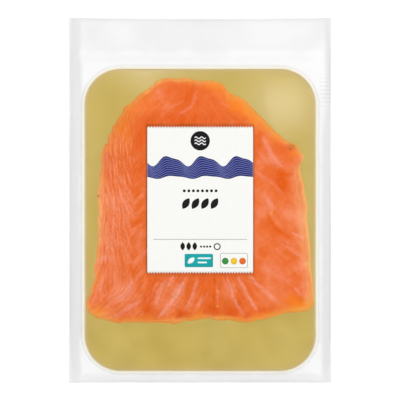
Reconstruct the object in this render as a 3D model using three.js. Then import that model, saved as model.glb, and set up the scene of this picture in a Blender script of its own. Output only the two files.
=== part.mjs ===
// A flat vacuum pack of smoked salmon: two broad thin slices on a gold card board,
// sealed in a clear pouch, with a paper label stuck on the front.
// Millimetres, +Z up. The pack lies on its back with the label up, and +Y runs to its top edge.
// The origin is under the middle of the pouch, on the surface that the pack lies on.

import * as THREE from "three";

// Driving dimensions of the card board
const boardHeight = 200;
const boardWidth = 0.7635 * boardHeight;
const boardCornerRadius = 20.5;
const boardThickness = 0.8;
const boardCentreY = -13.1;

// Driving dimensions of the pouch
const pouchWidth = 0.87 * boardHeight;
const pouchHeight = 1.211 * boardHeight;
const pouchCornerRadius = 0.8;
const pouchSheet = 0.4;
const topEdgeDip = 1.1;
const sealWidth = 6;
const footClearance = 2.6;
const crestWidth = 0.55;
const marginWaveHeight = 1.1;
const cornerCurl = 1.5;

// Driving dimensions of the slices
const lowerSliceThickness = 2.0;
const topSliceThickness = 2.2;
const sliceEdgeThickness = 0.45;
const sliceFeather = 7;
const edgeTrim = 0.4;
const sliceStep = 1.0;
const sliceStepAtRight = 2.6;
const seamWidth = 3;

// Driving dimensions of the label
const labelWidth = 70;
const labelHeight = 96.5;
const labelThickness = 0.2;
const labelClearance = 0.08;
const labelCentreY = 0.5;
const labelTeeth = 46;
const toothDepth = 0.6;

// The room that is kept between two pieces that lie on each other
const gap = 0.3;

// How finely the pieces are divided
const cornerSteps = 9;
const longSideSteps = 17;
const shortSideSteps = 15;
const sliceSteps = 108;
const labelRows = 5;

// Where the rings of a slice lie: distances inside its edge, then shares of the way from the middle
const rimDistances = [0, 1.5, 3.5, 7];
const fineShares = [0.92, 0.83, 0.73, 0.6, 0.45, 0.25];
const coarseShares = [0.75, 0.4];

// Heights that follow from the thicknesses
const boardBottom = pouchSheet + gap;
const boardTop = boardBottom + boardThickness;
const lowerSliceBottom = boardTop + gap;
const topSliceCrown = lowerSliceBottom + lowerSliceThickness + gap + topSliceThickness;

// The outline of the salmon, counter-clockwise from the middle of its top edge
const salmonOutline = [
  [-2, 79.4], [-14.6, 81], [-27, 80.4], [-47.8, 63.3], [-61.8, 41.3], [-67.2, 14.8],
  [-68.3, -16.5], [-69.8, -48], [-74.6, -62], [-75.2, -71], [-61.1, -79.3], [-26.6, -81.3],
  [3.3, -77.3], [24, -80], [38, -79.6], [55.8, -74], [73.2, -73.2], [75.4, -66],
  [73.8, -41.1], [71.8, -3.2], [66.6, 19.4], [67.6, 29.5], [61, 36.4], [45.2, 50.6],
  [23.9, 70.6], [11.3, 79.3],
];

// The small unevenness of the hand-cut edge, as waves along it: height and how fast they follow
const raggedWaves = [
  { height: 0.22, turnPerStep: 1.9 },
  { height: 0.16, turnPerStep: 3.1 },
];

// The seams of pale fat between the flakes, as grooves
const fanSeams = [
  { from: [-20, -47], to: [-33, -74], depth: 0.14 },
  { from: [-8, -50], to: [-28, -79], depth: 0.3 },
  { from: [2, -52], to: [-11, -75], depth: 0.18 },
  { from: [12, -52], to: [11.5, -70], depth: 0.22 },
  { from: [18, -50], to: [30.5, -78], depth: 0.24 },
  { from: [26.5, -50], to: [41, -76], depth: 0.2 },
  { from: [33, -46], to: [54, -72], depth: 0.3 },
  { from: [42, -42], to: [70, -67], depth: 0.22 },
];
const rightSeams = [
  { from: [36, 34], to: [55, 18], depth: 0.32 },
  { from: [55, 18], to: [65, 17.5], depth: 0.28 },
  { from: [36.5, 19.4], to: [50, 11], depth: 0.2 },
  { from: [38, -8], to: [56, -22], depth: 0.2 },
  { from: [54.7, -27.8], to: [67, -39], depth: 0.26 },
  { from: [41, -36], to: [61, -50], depth: 0.18 },
];
const topSeams = [
  { from: [0, 74], to: [-9, 58], depth: 0.22 },
  { from: [14, 74], to: [22, 60], depth: 0.16 },
  { from: [-14, 70], to: [-32, 52], depth: 0.16 },
];

// Slow waves over a surface: height, length along X and along Y, and phase
const swellWaves = [
  { height: 0.2, lengthX: 170, lengthY: 240, phase: 0.8 },
  { height: 0.15, lengthX: -190, lengthY: 150, phase: 1.9 },
];
const marginWaves = [
  { height: 0.28, lengthX: 82, lengthY: 182, phase: 0 },
  { height: 0.22, lengthX: -258, lengthY: 107, phase: 1.3 },
];
const leftFlakeWaves = [{ height: 0.12, lengthX: 14, lengthY: 260, phase: 0 }];
const leftFlakesStart = -36;

function smoothStep(value) {
  const t = Math.min(Math.max(value, 0), 1);
  return t * t * (3 - 2 * t);
}

function sumOfWaves(waves, x, y) {
  let sum = 0;
  for (const wave of waves) {
    sum += wave.height * Math.sin(2 * Math.PI * (x / wave.lengthX + y / wave.lengthY) + wave.phase);
  }
  return sum;
}

// A closed skin through rings of equally many points, with a middle point at each end
function skinThroughRings(firstMiddle, rings, lastMiddle) {
  const count = rings[0].length;
  const points = [firstMiddle, ...rings.flat(), lastMiddle];
  const last = points.length - 1;
  const lastRing = 1 + (rings.length - 1) * count;
  const triangles = [];
  for (let i = 0; i < count; i += 1) {
    const next = (i + 1) % count;
    triangles.push(0, 1 + i, 1 + next);
    for (let ring = 1; ring < rings.length; ring += 1) {
      const before = 1 + (ring - 1) * count;
      const after = before + count;
      triangles.push(before + i, after + i, after + next);
      triangles.push(before + i, after + next, before + next);
    }
    triangles.push(last, lastRing + next, lastRing + i);
  }
  return geometryOf(points, triangles);
}

function geometryOf(points, triangles) {
  const geometry = new THREE.BufferGeometry().setFromPoints(points);
  geometry.setIndex(triangles);
  geometry.computeVertexNormals();
  return geometry;
}

function meshOf(name, geometry, look) {
  const mesh = new THREE.Mesh(geometry, new THREE.MeshStandardMaterial(look));
  mesh.name = name;
  return mesh;
}

// A rounded rectangle, counter-clockwise, always with the same number of points
function roundedRectangle(width, height, radius, centreY) {
  const x = width / 2 - radius;
  const y = height / 2 - radius;
  const corners = [
    { x, y, stepsAfter: shortSideSteps },
    { x: -x, y, stepsAfter: longSideSteps },
    { x: -x, y: -y, stepsAfter: shortSideSteps },
    { x, y: -y, stepsAfter: longSideSteps },
  ];
  const arcs = corners.map((corner, turn) => {
    const arc = [];
    for (let step = 0; step <= cornerSteps; step += 1) {
      const angle = (turn + step / cornerSteps) * Math.PI / 2;
      arc.push(new THREE.Vector2(
        corner.x + radius * Math.cos(angle),
        centreY + corner.y + radius * Math.sin(angle),
      ));
    }
    return arc;
  });
  const outline = [];
  arcs.forEach((arc, index) => {
    outline.push(...arc);
    const sideEnd = arcs[(index + 1) % arcs.length][0];
    const steps = corners[index].stepsAfter;
    for (let step = 1; step < steps; step += 1) {
      outline.push(arc[cornerSteps].clone().lerp(sideEnd, step / steps));
    }
  });
  return outline;
}

function flatRing(outline, height) {
  return outline.map((point) => new THREE.Vector3(point.x, point.y, height));
}

// The board's outline, moved outwards by a distance
function boardOutline(outwards) {
  return roundedRectangle(
    boardWidth + 2 * outwards,
    boardHeight + 2 * outwards,
    boardCornerRadius + outwards,
    boardCentreY,
  );
}

function pouchOutline() {
  const outline = roundedRectangle(pouchWidth, pouchHeight, pouchCornerRadius, 0);
  for (const point of outline) {
    if (point.y > pouchHeight / 2 - pouchCornerRadius) {
      point.y -= topEdgeDip * (1 - (2 * point.x / pouchWidth) ** 2);
    }
  }
  return outline;
}

// How far the free margin of the pouch lifts off the table: share is 0 at the board and 1 at the rim
function marginLift(x, y, share) {
  const ripple = 0.5 + sumOfWaves(marginWaves, x, y);
  const toSide = smoothStep((Math.abs(x) / (pouchWidth / 2) - 0.55) / 0.45);
  const toEnd = smoothStep((Math.abs(y) / (pouchHeight / 2) - 0.7) / 0.3);
  return share ** 1.5 * (marginWaveHeight * ripple + cornerCurl * toSide * toEnd);
}

function marginRing(share, height) {
  const foot = boardOutline(footClearance);
  return pouchOutline().map((rimPoint, i) => {
    const point = foot[i].clone().lerp(rimPoint, share);
    return new THREE.Vector3(point.x, point.y, height + marginLift(point.x, point.y, share));
  });
}

// The pouch: a flat back sheet, a low wall that holds the board, and the welded margin around it
function pouch() {
  const underMiddle = new THREE.Vector3(0, boardCentreY, 0);
  const wellMiddle = underMiddle.clone().setZ(pouchSheet);
  const topMargin = pouchHeight / 2 - (boardCentreY + boardHeight / 2);
  const marginShares = [0, 0.4, 1 - sealWidth / topMargin, 1];
  const rings = [
    flatRing(boardOutline(gap), pouchSheet),
    flatRing(boardOutline(gap), boardTop),
    flatRing(boardOutline(gap + crestWidth), boardTop),
    ...marginShares.map((share) => marginRing(share, pouchSheet)),
    ...marginShares.map((share) => marginRing(share, 0)).reverse(),
  ];
  return meshOf("pouch", skinThroughRings(wellMiddle, rings, underMiddle), {
    color: 0xe9ebea,
    roughness: 0.18,
    metalness: 0,
    transparent: true,
    opacity: 0.4,
  });
}

function board() {
  const rings = [flatRing(boardOutline(0), boardTop), flatRing(boardOutline(0), boardBottom)];
  const topMiddle = new THREE.Vector3(0, boardCentreY, boardTop);
  const underMiddle = topMiddle.clone().setZ(boardBottom);
  return meshOf("board", skinThroughRings(topMiddle, rings, underMiddle), {
    color: 0xcbb266,
    roughness: 0.38,
    metalness: 0.6,
  });
}

// The salmon's edge as equally spaced points on a smooth curve, a little uneven
function lowerSliceEdge() {
  const corners = salmonOutline.map(([x, y]) => new THREE.Vector3(x, y, 0));
  const curve = new THREE.CatmullRomCurve3(corners, true, "centripetal");
  const edge = curve.getSpacedPoints(sliceSteps).slice(0, sliceSteps);
  return edge.map((point, i) => {
    const flat = new THREE.Vector2(point.x, point.y);
    let reach = flat.length() - edgeTrim;
    for (const wave of raggedWaves) {
      reach += wave.height * Math.sin(i * wave.turnPerStep);
    }
    return flat.setLength(reach);
  });
}

// How far the top slice's edge lies inside the lower one's: most along the right side
function stepAt(point) {
  const toRight = smoothStep((point.x - 52) / 12);
  const belowShoulder = smoothStep((32 - point.y) / 20);
  const aboveCorner = smoothStep((point.y + 74) / 16);
  return sliceStep + sliceStepAtRight * toRight * belowShoulder * aboveCorner;
}

function topSliceEdge() {
  return lowerSliceEdge().map((point) => point.clone().setLength(point.length() - stepAt(point)));
}

function seamDepth(x, y, { from, to, depth }) {
  const alongX = to[0] - from[0];
  const alongY = to[1] - from[1];
  const share = ((x - from[0]) * alongX + (y - from[1]) * alongY) / (alongX ** 2 + alongY ** 2);
  const t = Math.min(Math.max(share, 0), 1);
  const distance = Math.hypot(x - from[0] - t * alongX, y - from[1] - t * alongY);
  return depth * Math.exp(-((distance / seamWidth) ** 2));
}

// The relief of the flakes on the top slice: grooves at the seams, and soft bands at the left
function flakeRelief(x, y) {
  let relief = sumOfWaves(leftFlakeWaves, x, y) * smoothStep((leftFlakesStart - x) / 6);
  for (const seam of [...fanSeams, ...rightSeams, ...topSeams]) {
    relief -= seamDepth(x, y, seam);
  }
  return relief;
}

// How thick a slice is at a distance inside its feathered edge
function sliceDepth(inside, thickness) {
  return sliceEdgeThickness + (thickness - sliceEdgeThickness) * smoothStep(inside / sliceFeather);
}

function lowerSliceTop(x, y, inside) {
  const swell = sumOfWaves(swellWaves, x, y) * smoothStep(inside / sliceFeather);
  return lowerSliceBottom + sliceDepth(inside, lowerSliceThickness) + swell;
}

function topSliceUnderside(x, y, inside, edgePoint) {
  return lowerSliceTop(x, y, inside + stepAt(edgePoint)) + gap;
}

function topSliceTop(x, y, inside, edgePoint) {
  const relief = flakeRelief(x, y) * smoothStep(inside / sliceFeather);
  return topSliceUnderside(x, y, inside, edgePoint) + sliceDepth(inside, topSliceThickness) + relief;
}

// A ring of a slice, found by going from its edge along straight lines to the middle
function sliceRing(edge, inwards, share, heightAt) {
  return edge.map((edgePoint) => {
    const reach = edgePoint.length();
    const distance = (reach - inwards) * share;
    const { x, y } = edgePoint.clone().setLength(distance);
    return new THREE.Vector3(x, y, heightAt(x, y, reach - distance, edgePoint));
  });
}

// The rings of one face of a slice, from its edge to near its middle
function faceRings(edge, shares, heightAt) {
  return [
    ...rimDistances.map((distance) => sliceRing(edge, distance, 1, heightAt)),
    ...shares.map((share) => sliceRing(edge, sliceFeather, share, heightAt)),
  ];
}

function lowerSlice() {
  const edge = lowerSliceEdge();
  const rings = [
    ...faceRings(edge, coarseShares, lowerSliceTop).reverse(),
    flatRing(edge, lowerSliceBottom),
  ];
  const topMiddle = new THREE.Vector3(0, 0, lowerSliceTop(0, 0, sliceFeather));
  const underMiddle = new THREE.Vector3(0, 0, lowerSliceBottom);
  return meshOf("lower_slice", skinThroughRings(topMiddle, rings, underMiddle), {
    color: 0xf0945c,
    roughness: 0.4,
    metalness: 0,
  });
}

function topSlice() {
  const edge = topSliceEdge();
  const rings = [
    ...faceRings(edge, fineShares, topSliceTop).reverse(),
    ...faceRings(edge, coarseShares, topSliceUnderside),
  ];
  const underMiddle = new THREE.Vector3(0, 0, lowerSliceTop(0, 0, sliceFeather) + gap);
  const topMiddle = underMiddle.clone().setZ(underMiddle.z + topSliceThickness);
  return meshOf("top_slice", skinThroughRings(topMiddle, rings, underMiddle), {
    color: 0xee7e48,
    roughness: 0.35,
    metalness: 0,
  });
}

// One point of the label, which follows the swell of the fish and has teeth along its two cut ends
function labelPoint(column, row, height) {
  const columns = 2 * labelTeeth;
  const x = (column / columns - 0.5) * labelWidth;
  let y = labelCentreY + (row / labelRows - 0.5) * (labelHeight - 2 * toothDepth);
  if (column % 2 === 0 && row === 0) {
    y -= toothDepth;
  }
  if (column % 2 === 0 && row === labelRows) {
    y += toothDepth;
  }
  return new THREE.Vector3(x, y, height + sumOfWaves(swellWaves, x, y));
}

function label() {
  const columns = 2 * labelTeeth;
  const underside = topSliceCrown + gap + labelClearance;
  const points = [];
  for (const height of [underside, underside + labelThickness]) {
    for (let row = 0; row <= labelRows; row += 1) {
      for (let column = 0; column <= columns; column += 1) {
        points.push(labelPoint(column, row, height));
      }
    }
  }
  const perRow = columns + 1;
  const upper = perRow * (labelRows + 1);
  const triangles = [];
  const addWall = (a, b) => triangles.push(a, b, b + upper, a, b + upper, a + upper);
  for (let row = 0; row < labelRows; row += 1) {
    for (let column = 0; column < columns; column += 1) {
      const a = row * perRow + column;
      const b = a + 1;
      const c = a + perRow;
      const d = c + 1;
      triangles.push(a, c, b, b, c, d);
      triangles.push(upper + a, upper + b, upper + c, upper + b, upper + d, upper + c);
    }
    addWall((row + 1) * perRow, row * perRow);
    addWall(row * perRow + columns, (row + 1) * perRow + columns);
  }
  const lastRow = labelRows * perRow;
  for (let column = 0; column < columns; column += 1) {
    addWall(column, column + 1);
    addWall(lastRow + column + 1, lastRow + column);
  }
  return meshOf("label", geometryOf(points, triangles), {
    color: 0xf9faf7,
    roughness: 0.7,
    metalness: 0,
  });
}

const pack = new THREE.Group();
pack.add(pouch());
pack.add(board());
pack.add(lowerSlice());
pack.add(topSlice());
pack.add(label());

export default pack;
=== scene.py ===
# %% [markdown]
# # Smoked salmon in a vacuum pack
#
# The object is a flat pack: broad thin slices of smoked salmon lie on a gold card board, a clear
# pouch is drawn tight over them, and a paper label is stuck on the front.
#
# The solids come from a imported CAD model, which stays where it is. Here every solid gets a finer
# piece that stands for it, made from arrays of points with numpy, and a material made of nodes.

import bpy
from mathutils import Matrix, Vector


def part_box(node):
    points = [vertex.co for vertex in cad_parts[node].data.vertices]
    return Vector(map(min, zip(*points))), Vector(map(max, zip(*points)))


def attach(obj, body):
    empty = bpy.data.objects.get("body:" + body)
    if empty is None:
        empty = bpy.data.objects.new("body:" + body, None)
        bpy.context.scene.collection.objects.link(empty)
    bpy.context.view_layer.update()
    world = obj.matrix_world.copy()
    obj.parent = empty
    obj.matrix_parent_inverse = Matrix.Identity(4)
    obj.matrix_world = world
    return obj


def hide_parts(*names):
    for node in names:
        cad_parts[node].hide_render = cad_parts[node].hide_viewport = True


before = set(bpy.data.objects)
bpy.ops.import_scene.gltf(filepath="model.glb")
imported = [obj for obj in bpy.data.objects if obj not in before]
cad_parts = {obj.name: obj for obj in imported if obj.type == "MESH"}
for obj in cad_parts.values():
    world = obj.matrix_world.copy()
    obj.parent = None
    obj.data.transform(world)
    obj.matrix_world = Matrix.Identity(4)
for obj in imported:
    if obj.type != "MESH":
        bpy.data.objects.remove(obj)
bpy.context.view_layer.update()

# %% Other modules and the unit
import math

import bpy
import numpy as np
from mathutils import Vector
from mathutils.bvhtree import BVHTree

MM = 0.001  # the arrays below are in millimetres, and Blender's meshes are in metres


def paint(red, green, blue):
    """A colour as a paint chart gives it, 0 to 255, in the linear numbers that shaders use."""
    linear = [
        ((c / 255 + 0.055) / 1.055) ** 2.4 if c > 10 else c / 255 / 12.92
        for c in (red, green, blue)
    ]
    return (*linear, 1.0)


# %% [markdown]
# ## Sizes from the solids
#
# A piece that stands for a solid has to fit it. So the places are measured on the solids: the
# board's top, the rim of each slice, and how the free margin of the pouch lifts off the table.
# Typed-in numbers would be shorter, but they would be wrong as soon as the solids change.

# %% Measure the board and the label
def box_of(node):
    """The lowest and the highest corner of a solid, in mm."""
    low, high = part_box(node)
    return np.array(low) / MM, np.array(high) / MM


board_low, board_high = box_of("board")
label_low, label_high = box_of("label")
BOARD_TOP = board_high[2]
print("board top at", round(BOARD_TOP, 2), "mm, label top at", round(label_high[2], 2), "mm")


# %% Read the rim of a slice
def rim_of(node):
    """The outline of a slice: its points lie on lines to the middle, and the farthest ones are the rim."""
    points = np.array([v.co[:2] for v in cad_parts[node].data.vertices]) / MM
    reach = np.hypot(*points.T)
    points, reach = points[reach > 1], reach[reach > 1]
    angle = np.arctan2(points[:, 1], points[:, 0])
    order = np.argsort(angle)
    lines = np.split(order, np.flatnonzero(np.diff(angle[order]) > 0.005) + 1)
    return np.array([points[line[np.argmax(reach[line])]] for line in lines])


def smooth_curve(points, count, closed):
    """A smooth curve through the points, as count equally spaced points."""
    points = np.array(points, float)
    if closed:
        padded = np.vstack([points[-1:], points, points[:2]])
    else:
        padded = np.vstack([2 * points[0] - points[1], points, 2 * points[-1] - points[-2]])
    before, start, end, after = padded[:-3], padded[1:-2], padded[2:-1], padded[3:]
    t = np.linspace(0, 1, 12, endpoint=False)[:, None, None]
    curve = start + 0.5 * t * (end - before) + 0.5 * t**2 * (2 * before - 5 * start + 4 * end - after)
    curve = curve + 0.5 * t**3 * (3 * start - before - 3 * end + after)
    curve = np.vstack([curve.transpose(1, 0, 2).reshape(-1, 2), end[-1:]])
    run = np.concatenate([[0], np.cumsum(np.hypot(*np.diff(curve, axis=0).T))])
    places = np.linspace(0, run[-1], count, endpoint=not closed)
    return np.column_stack([np.interp(places, run, curve[:, 0]), np.interp(places, run, curve[:, 1])])


RIM_POINTS = 880
lower_rim = smooth_curve(rim_of("lower_slice"), RIM_POINTS, closed=True)
top_rim = smooth_curve(rim_of("top_slice"), RIM_POINTS, closed=True)
print("rim points on the solids:", len(rim_of("lower_slice")), len(rim_of("top_slice")))


# %% [markdown]
# ## Unevenness
#
# Nothing on food is straight. Two kinds of unevenness are used: a few sine waves where a long soft
# swell is wanted, and value noise, which is a lattice of random heights with smooth steps between
# them. The random numbers are seeded, so the pack looks the same each time.

# %% Waves and noise
def smooth_step(value):
    t = np.clip(value, 0, 1)
    return t * t * (3 - 2 * t)


def noise(x, y, size, seed):
    """Value noise from -1 to 1 with lumps of about size millimetres."""
    lattice = np.random.default_rng(seed).uniform(-1, 1, (128, 128))
    u, v = x / size + 64.5, y / size + 64.5
    column, row = np.floor(u).astype(int), np.floor(v).astype(int)
    s, t = smooth_step(u - column), smooth_step(v - row)
    corner = [[lattice[(row + i) % 128, (column + j) % 128] for j in (0, 1)] for i in (0, 1)]
    below = corner[0][0] * (1 - s) + corner[0][1] * s
    above = corner[1][0] * (1 - s) + corner[1][1] * s
    return below * (1 - t) + above * t


def patch(x, y, at_x, at_y, wide, high, turn=0):
    """A soft spot, 1 in its middle and 0 outside, wide and high in mm, turned by some degrees."""
    c, s = math.cos(math.radians(turn)), math.sin(math.radians(turn))
    u = ((x - at_x) * c + (y - at_y) * s) / wide
    v = ((y - at_y) * c - (x - at_x) * s) / high
    return np.exp(-(u**2 + v**2))


def swell(x, y):
    """The slow rise and fall of the flesh, as on the solids."""
    first = 0.2 * np.sin(2 * np.pi * (x / 170 + y / 240) + 0.8)
    second = 0.15 * np.sin(2 * np.pi * (y / 150 - x / 190) + 1.9)
    return first + second


# %% [markdown]
# ## Cut edges
#
# The slices are cut by hand, so their edges have small bites and threads. At the upper left the
# muscle strands end one after the other like shingles, and there the edge is a row of steps. In
# two places the lower slice peeks out as a small lobe.

# %% Roughen the rims
LOBES = [  # places where both edges go out or in a little: x, y, spread and shift in mm
    (-71.5, -43.5, 4, 3.0), (-70.2, -57.3, 6, -1.8), (-75.5, -63.5, 3.5, -3.4), (-71.2, -78.3, 9, 2.2),
    (-57, -80.5, 6, 1.2), (-23.4, -80.9, 9, 0.6), (-14.3, -81, 5, 2.3), (-3.5, -78.9, 8, 2.1),
    (9.8, -78.3, 7, 1.9), (27.1, -80.9, 9, 1.2), (45, -77, 8, 1.1), (55, -75, 6, 1.7), (63, -75, 4, 1.0),
    (71, -16, 7, -1.1), (68.5, 13, 7, 1.0), (67, 28, 5, 1.0), (64, 37.2, 3.8, 4.6), (69, -2, 30, -0.3),
    (38, 59, 9, 0.9), (29, 67, 4, 1.0), (21.6, 69.6, 3, -1.6), (17.8, 73.2, 3.6, -2.4),
    (-8, 81, 6, 1.1), (-33.4, 74.6, 5, -1.3), (-38, 70, 4, -0.7), (-51.5, 61, 3.5, 1.2),
    (-66.9, 31.2, 3.5, 1.3), (-68.5, 3, 8, 0.6),
]
LOWER_LOBES = [(-68, 28, 5, 1.0), (-69, -36, 5, 0.5), (-40, 66, 6, 0.4)]
RIM_STEP = 0.58  # mm from one rim point to the next, near enough
STRAND_STEP = 6.2  # mm from the end of one strand to the end of the next
STEEP_SHARE = 0.12  # the share of a step in which the edge comes back


def ragged(rim, seed, lobes):
    """The rim with small bites all round, the steps of the strands, and the lobes."""
    run = np.arange(len(rim)) * RIM_STEP
    shift = 0.3 * noise(run, run * 0, 2.6, seed) + 0.25 * noise(run, run * 0, 1.2, seed + 1)
    x, y = rim.T
    step = (y / STRAND_STEP) % 1
    step = np.where(step < STEEP_SHARE, 1 - step / STEEP_SHARE, (step - STEEP_SHARE) / (1 - STEEP_SHARE))
    shift += 1.4 * (step - 0.5) * patch(x, y, -60, 41, 12, 17)
    for at_x, at_y, spread, out in lobes:
        shift += out * patch(x, y, at_x, at_y, spread, spread)
    reach = np.hypot(x, y)
    return rim * ((reach + shift) / reach)[:, None]


top_rim = ragged(top_rim, 5, LOBES)
lower_rim = ragged(lower_rim, 3, LOBES + LOWER_LOBES)
print("edge lobes:", len(LOBES), "and", len(LOWER_LOBES))


# %% [markdown]
# ## The grain of the fish
#
# The look of salmon comes from its muscle: sheets of flesh, the flakes, with thin seams of pale fat
# between them. At the left of this slice the strands run straight down and meet others in a
# herringbone beside the label. Below the label they fan out, and at the right they lean over.
#
# One picture of noise would not follow them. So a few compass needles, listed one by one, give the
# direction of the grain at places on the slice, and everything between them is blended. Then noise
# is smeared along the needles, step by step. That is called line integral convolution, and it draws
# streaks that bend with the flesh.

# %% The direction of the grain
GRAIN_STEP = 0.4
grain_x, grain_y = np.meshgrid(np.arange(-80, 80, GRAIN_STEP), np.arange(-86, 86, GRAIN_STEP))

MAIN_NEEDLES = [  # x, y in mm, and the angle of the grain in degrees, from the label's right
    (-41, 38, 72), (-41, 22, 50), (-41, 5, 40), (-41, -12, 36), (-41, -28, 42), (-41, -45, 52),
    (-44, -53, 54), (-49, -60, 50), (-66, -56, 76), (-71, -62, 62), (-58, -62, 50),
    (-68, -74, 30), (-60, -76, 28), (-50, -72, 30), (-43, -68, 36), (-34, -62, 62),
    (-28, -62, 68), (-20, -64, 50), (-8, -62, 62), (0, -62, 66), (10, -62, 92), (20, -62, 116),
    (31, -62, 124), (42, -61, 136), (54, -66, 146), (-14, -76, 55), (30, -76, 118),
    (38, 36, 128), (44, 34, 122), (47, 26, 128), (60, 18, 172), (48, 12, 150), (54, 6, 135),
    (45, -4, 132), (62, -6, 135), (50, -20, 140), (60, -26, 150), (57, -31, 150), (48, -47, 148),
    (60, -54, 145), (68, -63, 155), (66, -45, 125), (-14, 58, 38), (-22, 60, 33), (-34, 66, 42),
    (-26, 74, 45), (-46, 55, 66), (-2, 70, 66), (6, 66, 112), (12, 63, 128), (18, 59, 140),
    (28, 66, 140), (36, 58, 138), (46, 44, 134), (58, 36, 130),
]
LEFT_NEEDLES = [  # the strands at the left of the line where the herringbone turns
    (-55, 52, 88), (-48, 48, 86), (-58, 40, 92), (-51, 35, 94), (-46, 32, 92), (-64, 20, 100),
    (-56, 18, 98), (-50, 15, 106), (-46, 15, 112), (-64, 0, 94), (-57, 0, 96), (-50, 0, 108),
    (-46, 0, 118), (-62, -15, 90), (-56, -15, 91), (-50, -12, 108), (-46, -18, 118), (-62, -35, 90),
    (-56, -35, 92), (-50, -35, 110), (-46, -40, 118), (-65, -48, 80), (-58, -48, 94), (-50, -48, 112),
]


def grain_angle(needles, x, y):
    """The mean of the needles' angles, in which the near ones count most."""
    total, weights = 0.0, 1e-9
    for needle_x, needle_y, degrees in needles:
        weight = 1 / (((x - needle_x) ** 2 + (y - needle_y) ** 2) ** 1.5 + 30)
        total = total + weight * math.radians(degrees)
        weights = weights + weight
    return total / weights


turning_line = -44.3 + 1.2 * noise(grain_y, grain_y, 11, 9)
left_family = (grain_x < turning_line) & (grain_y > -55 + 0.4 * (grain_x + 44)) & (grain_y < 56)
angles = np.where(
    left_family,
    grain_angle(LEFT_NEEDLES, grain_x, grain_y) - math.pi,  # turned about, so that streaks go on as a V
    grain_angle(MAIN_NEEDLES, grain_x, grain_y),
)
angles = angles + 0.1 * noise(grain_x, grain_y, 9, 8)


# %% Smear noise along the grain
def cell_of(x, y):
    """The row and the column of the cell that a point lies in."""
    column = np.clip(np.rint((x - grain_x[0, 0]) / GRAIN_STEP).astype(int), 0, grain_x.shape[1] - 1)
    row = np.clip(np.rint((y - grain_y[0, 0]) / GRAIN_STEP).astype(int), 0, grain_x.shape[0] - 1)
    return row, column


def streaks(lump, length, seed):
    """Noise with lumps of that size, drawn out along the grain, with a mean of 0 and a spread of 1."""
    picture = noise(grain_x, grain_y, lump, seed)
    total = picture.copy()
    for way in (-1, 1):
        x, y = grain_x.copy(), grain_y.copy()
        for _ in range(int(length / 2 / GRAIN_STEP)):
            angle = angles[cell_of(x, y)]
            x += way * GRAIN_STEP * np.cos(angle)
            y += way * GRAIN_STEP * np.sin(angle)
            total += picture[cell_of(x, y)]
    return (total - total.mean()) / total.std()


def without_slow_changes(picture, cells):
    """The picture less its own blur, so that ridges keep an even distance from each other."""
    blurred = sum(np.roll(picture, shift, axis=1) for shift in range(-cells, cells + 1)) / (2 * cells + 1)
    blurred = sum(np.roll(blurred, shift, axis=0) for shift in range(-cells, cells + 1)) / (2 * cells + 1)
    rest = picture - blurred
    return rest / rest.std()


thread = streaks(0.7, 5, 11)
strand = without_slow_changes(streaks(0.9, 7, 12), 3)
flake = streaks(3.0, 20, 13)
print("grain cells:", thread.size)
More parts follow.
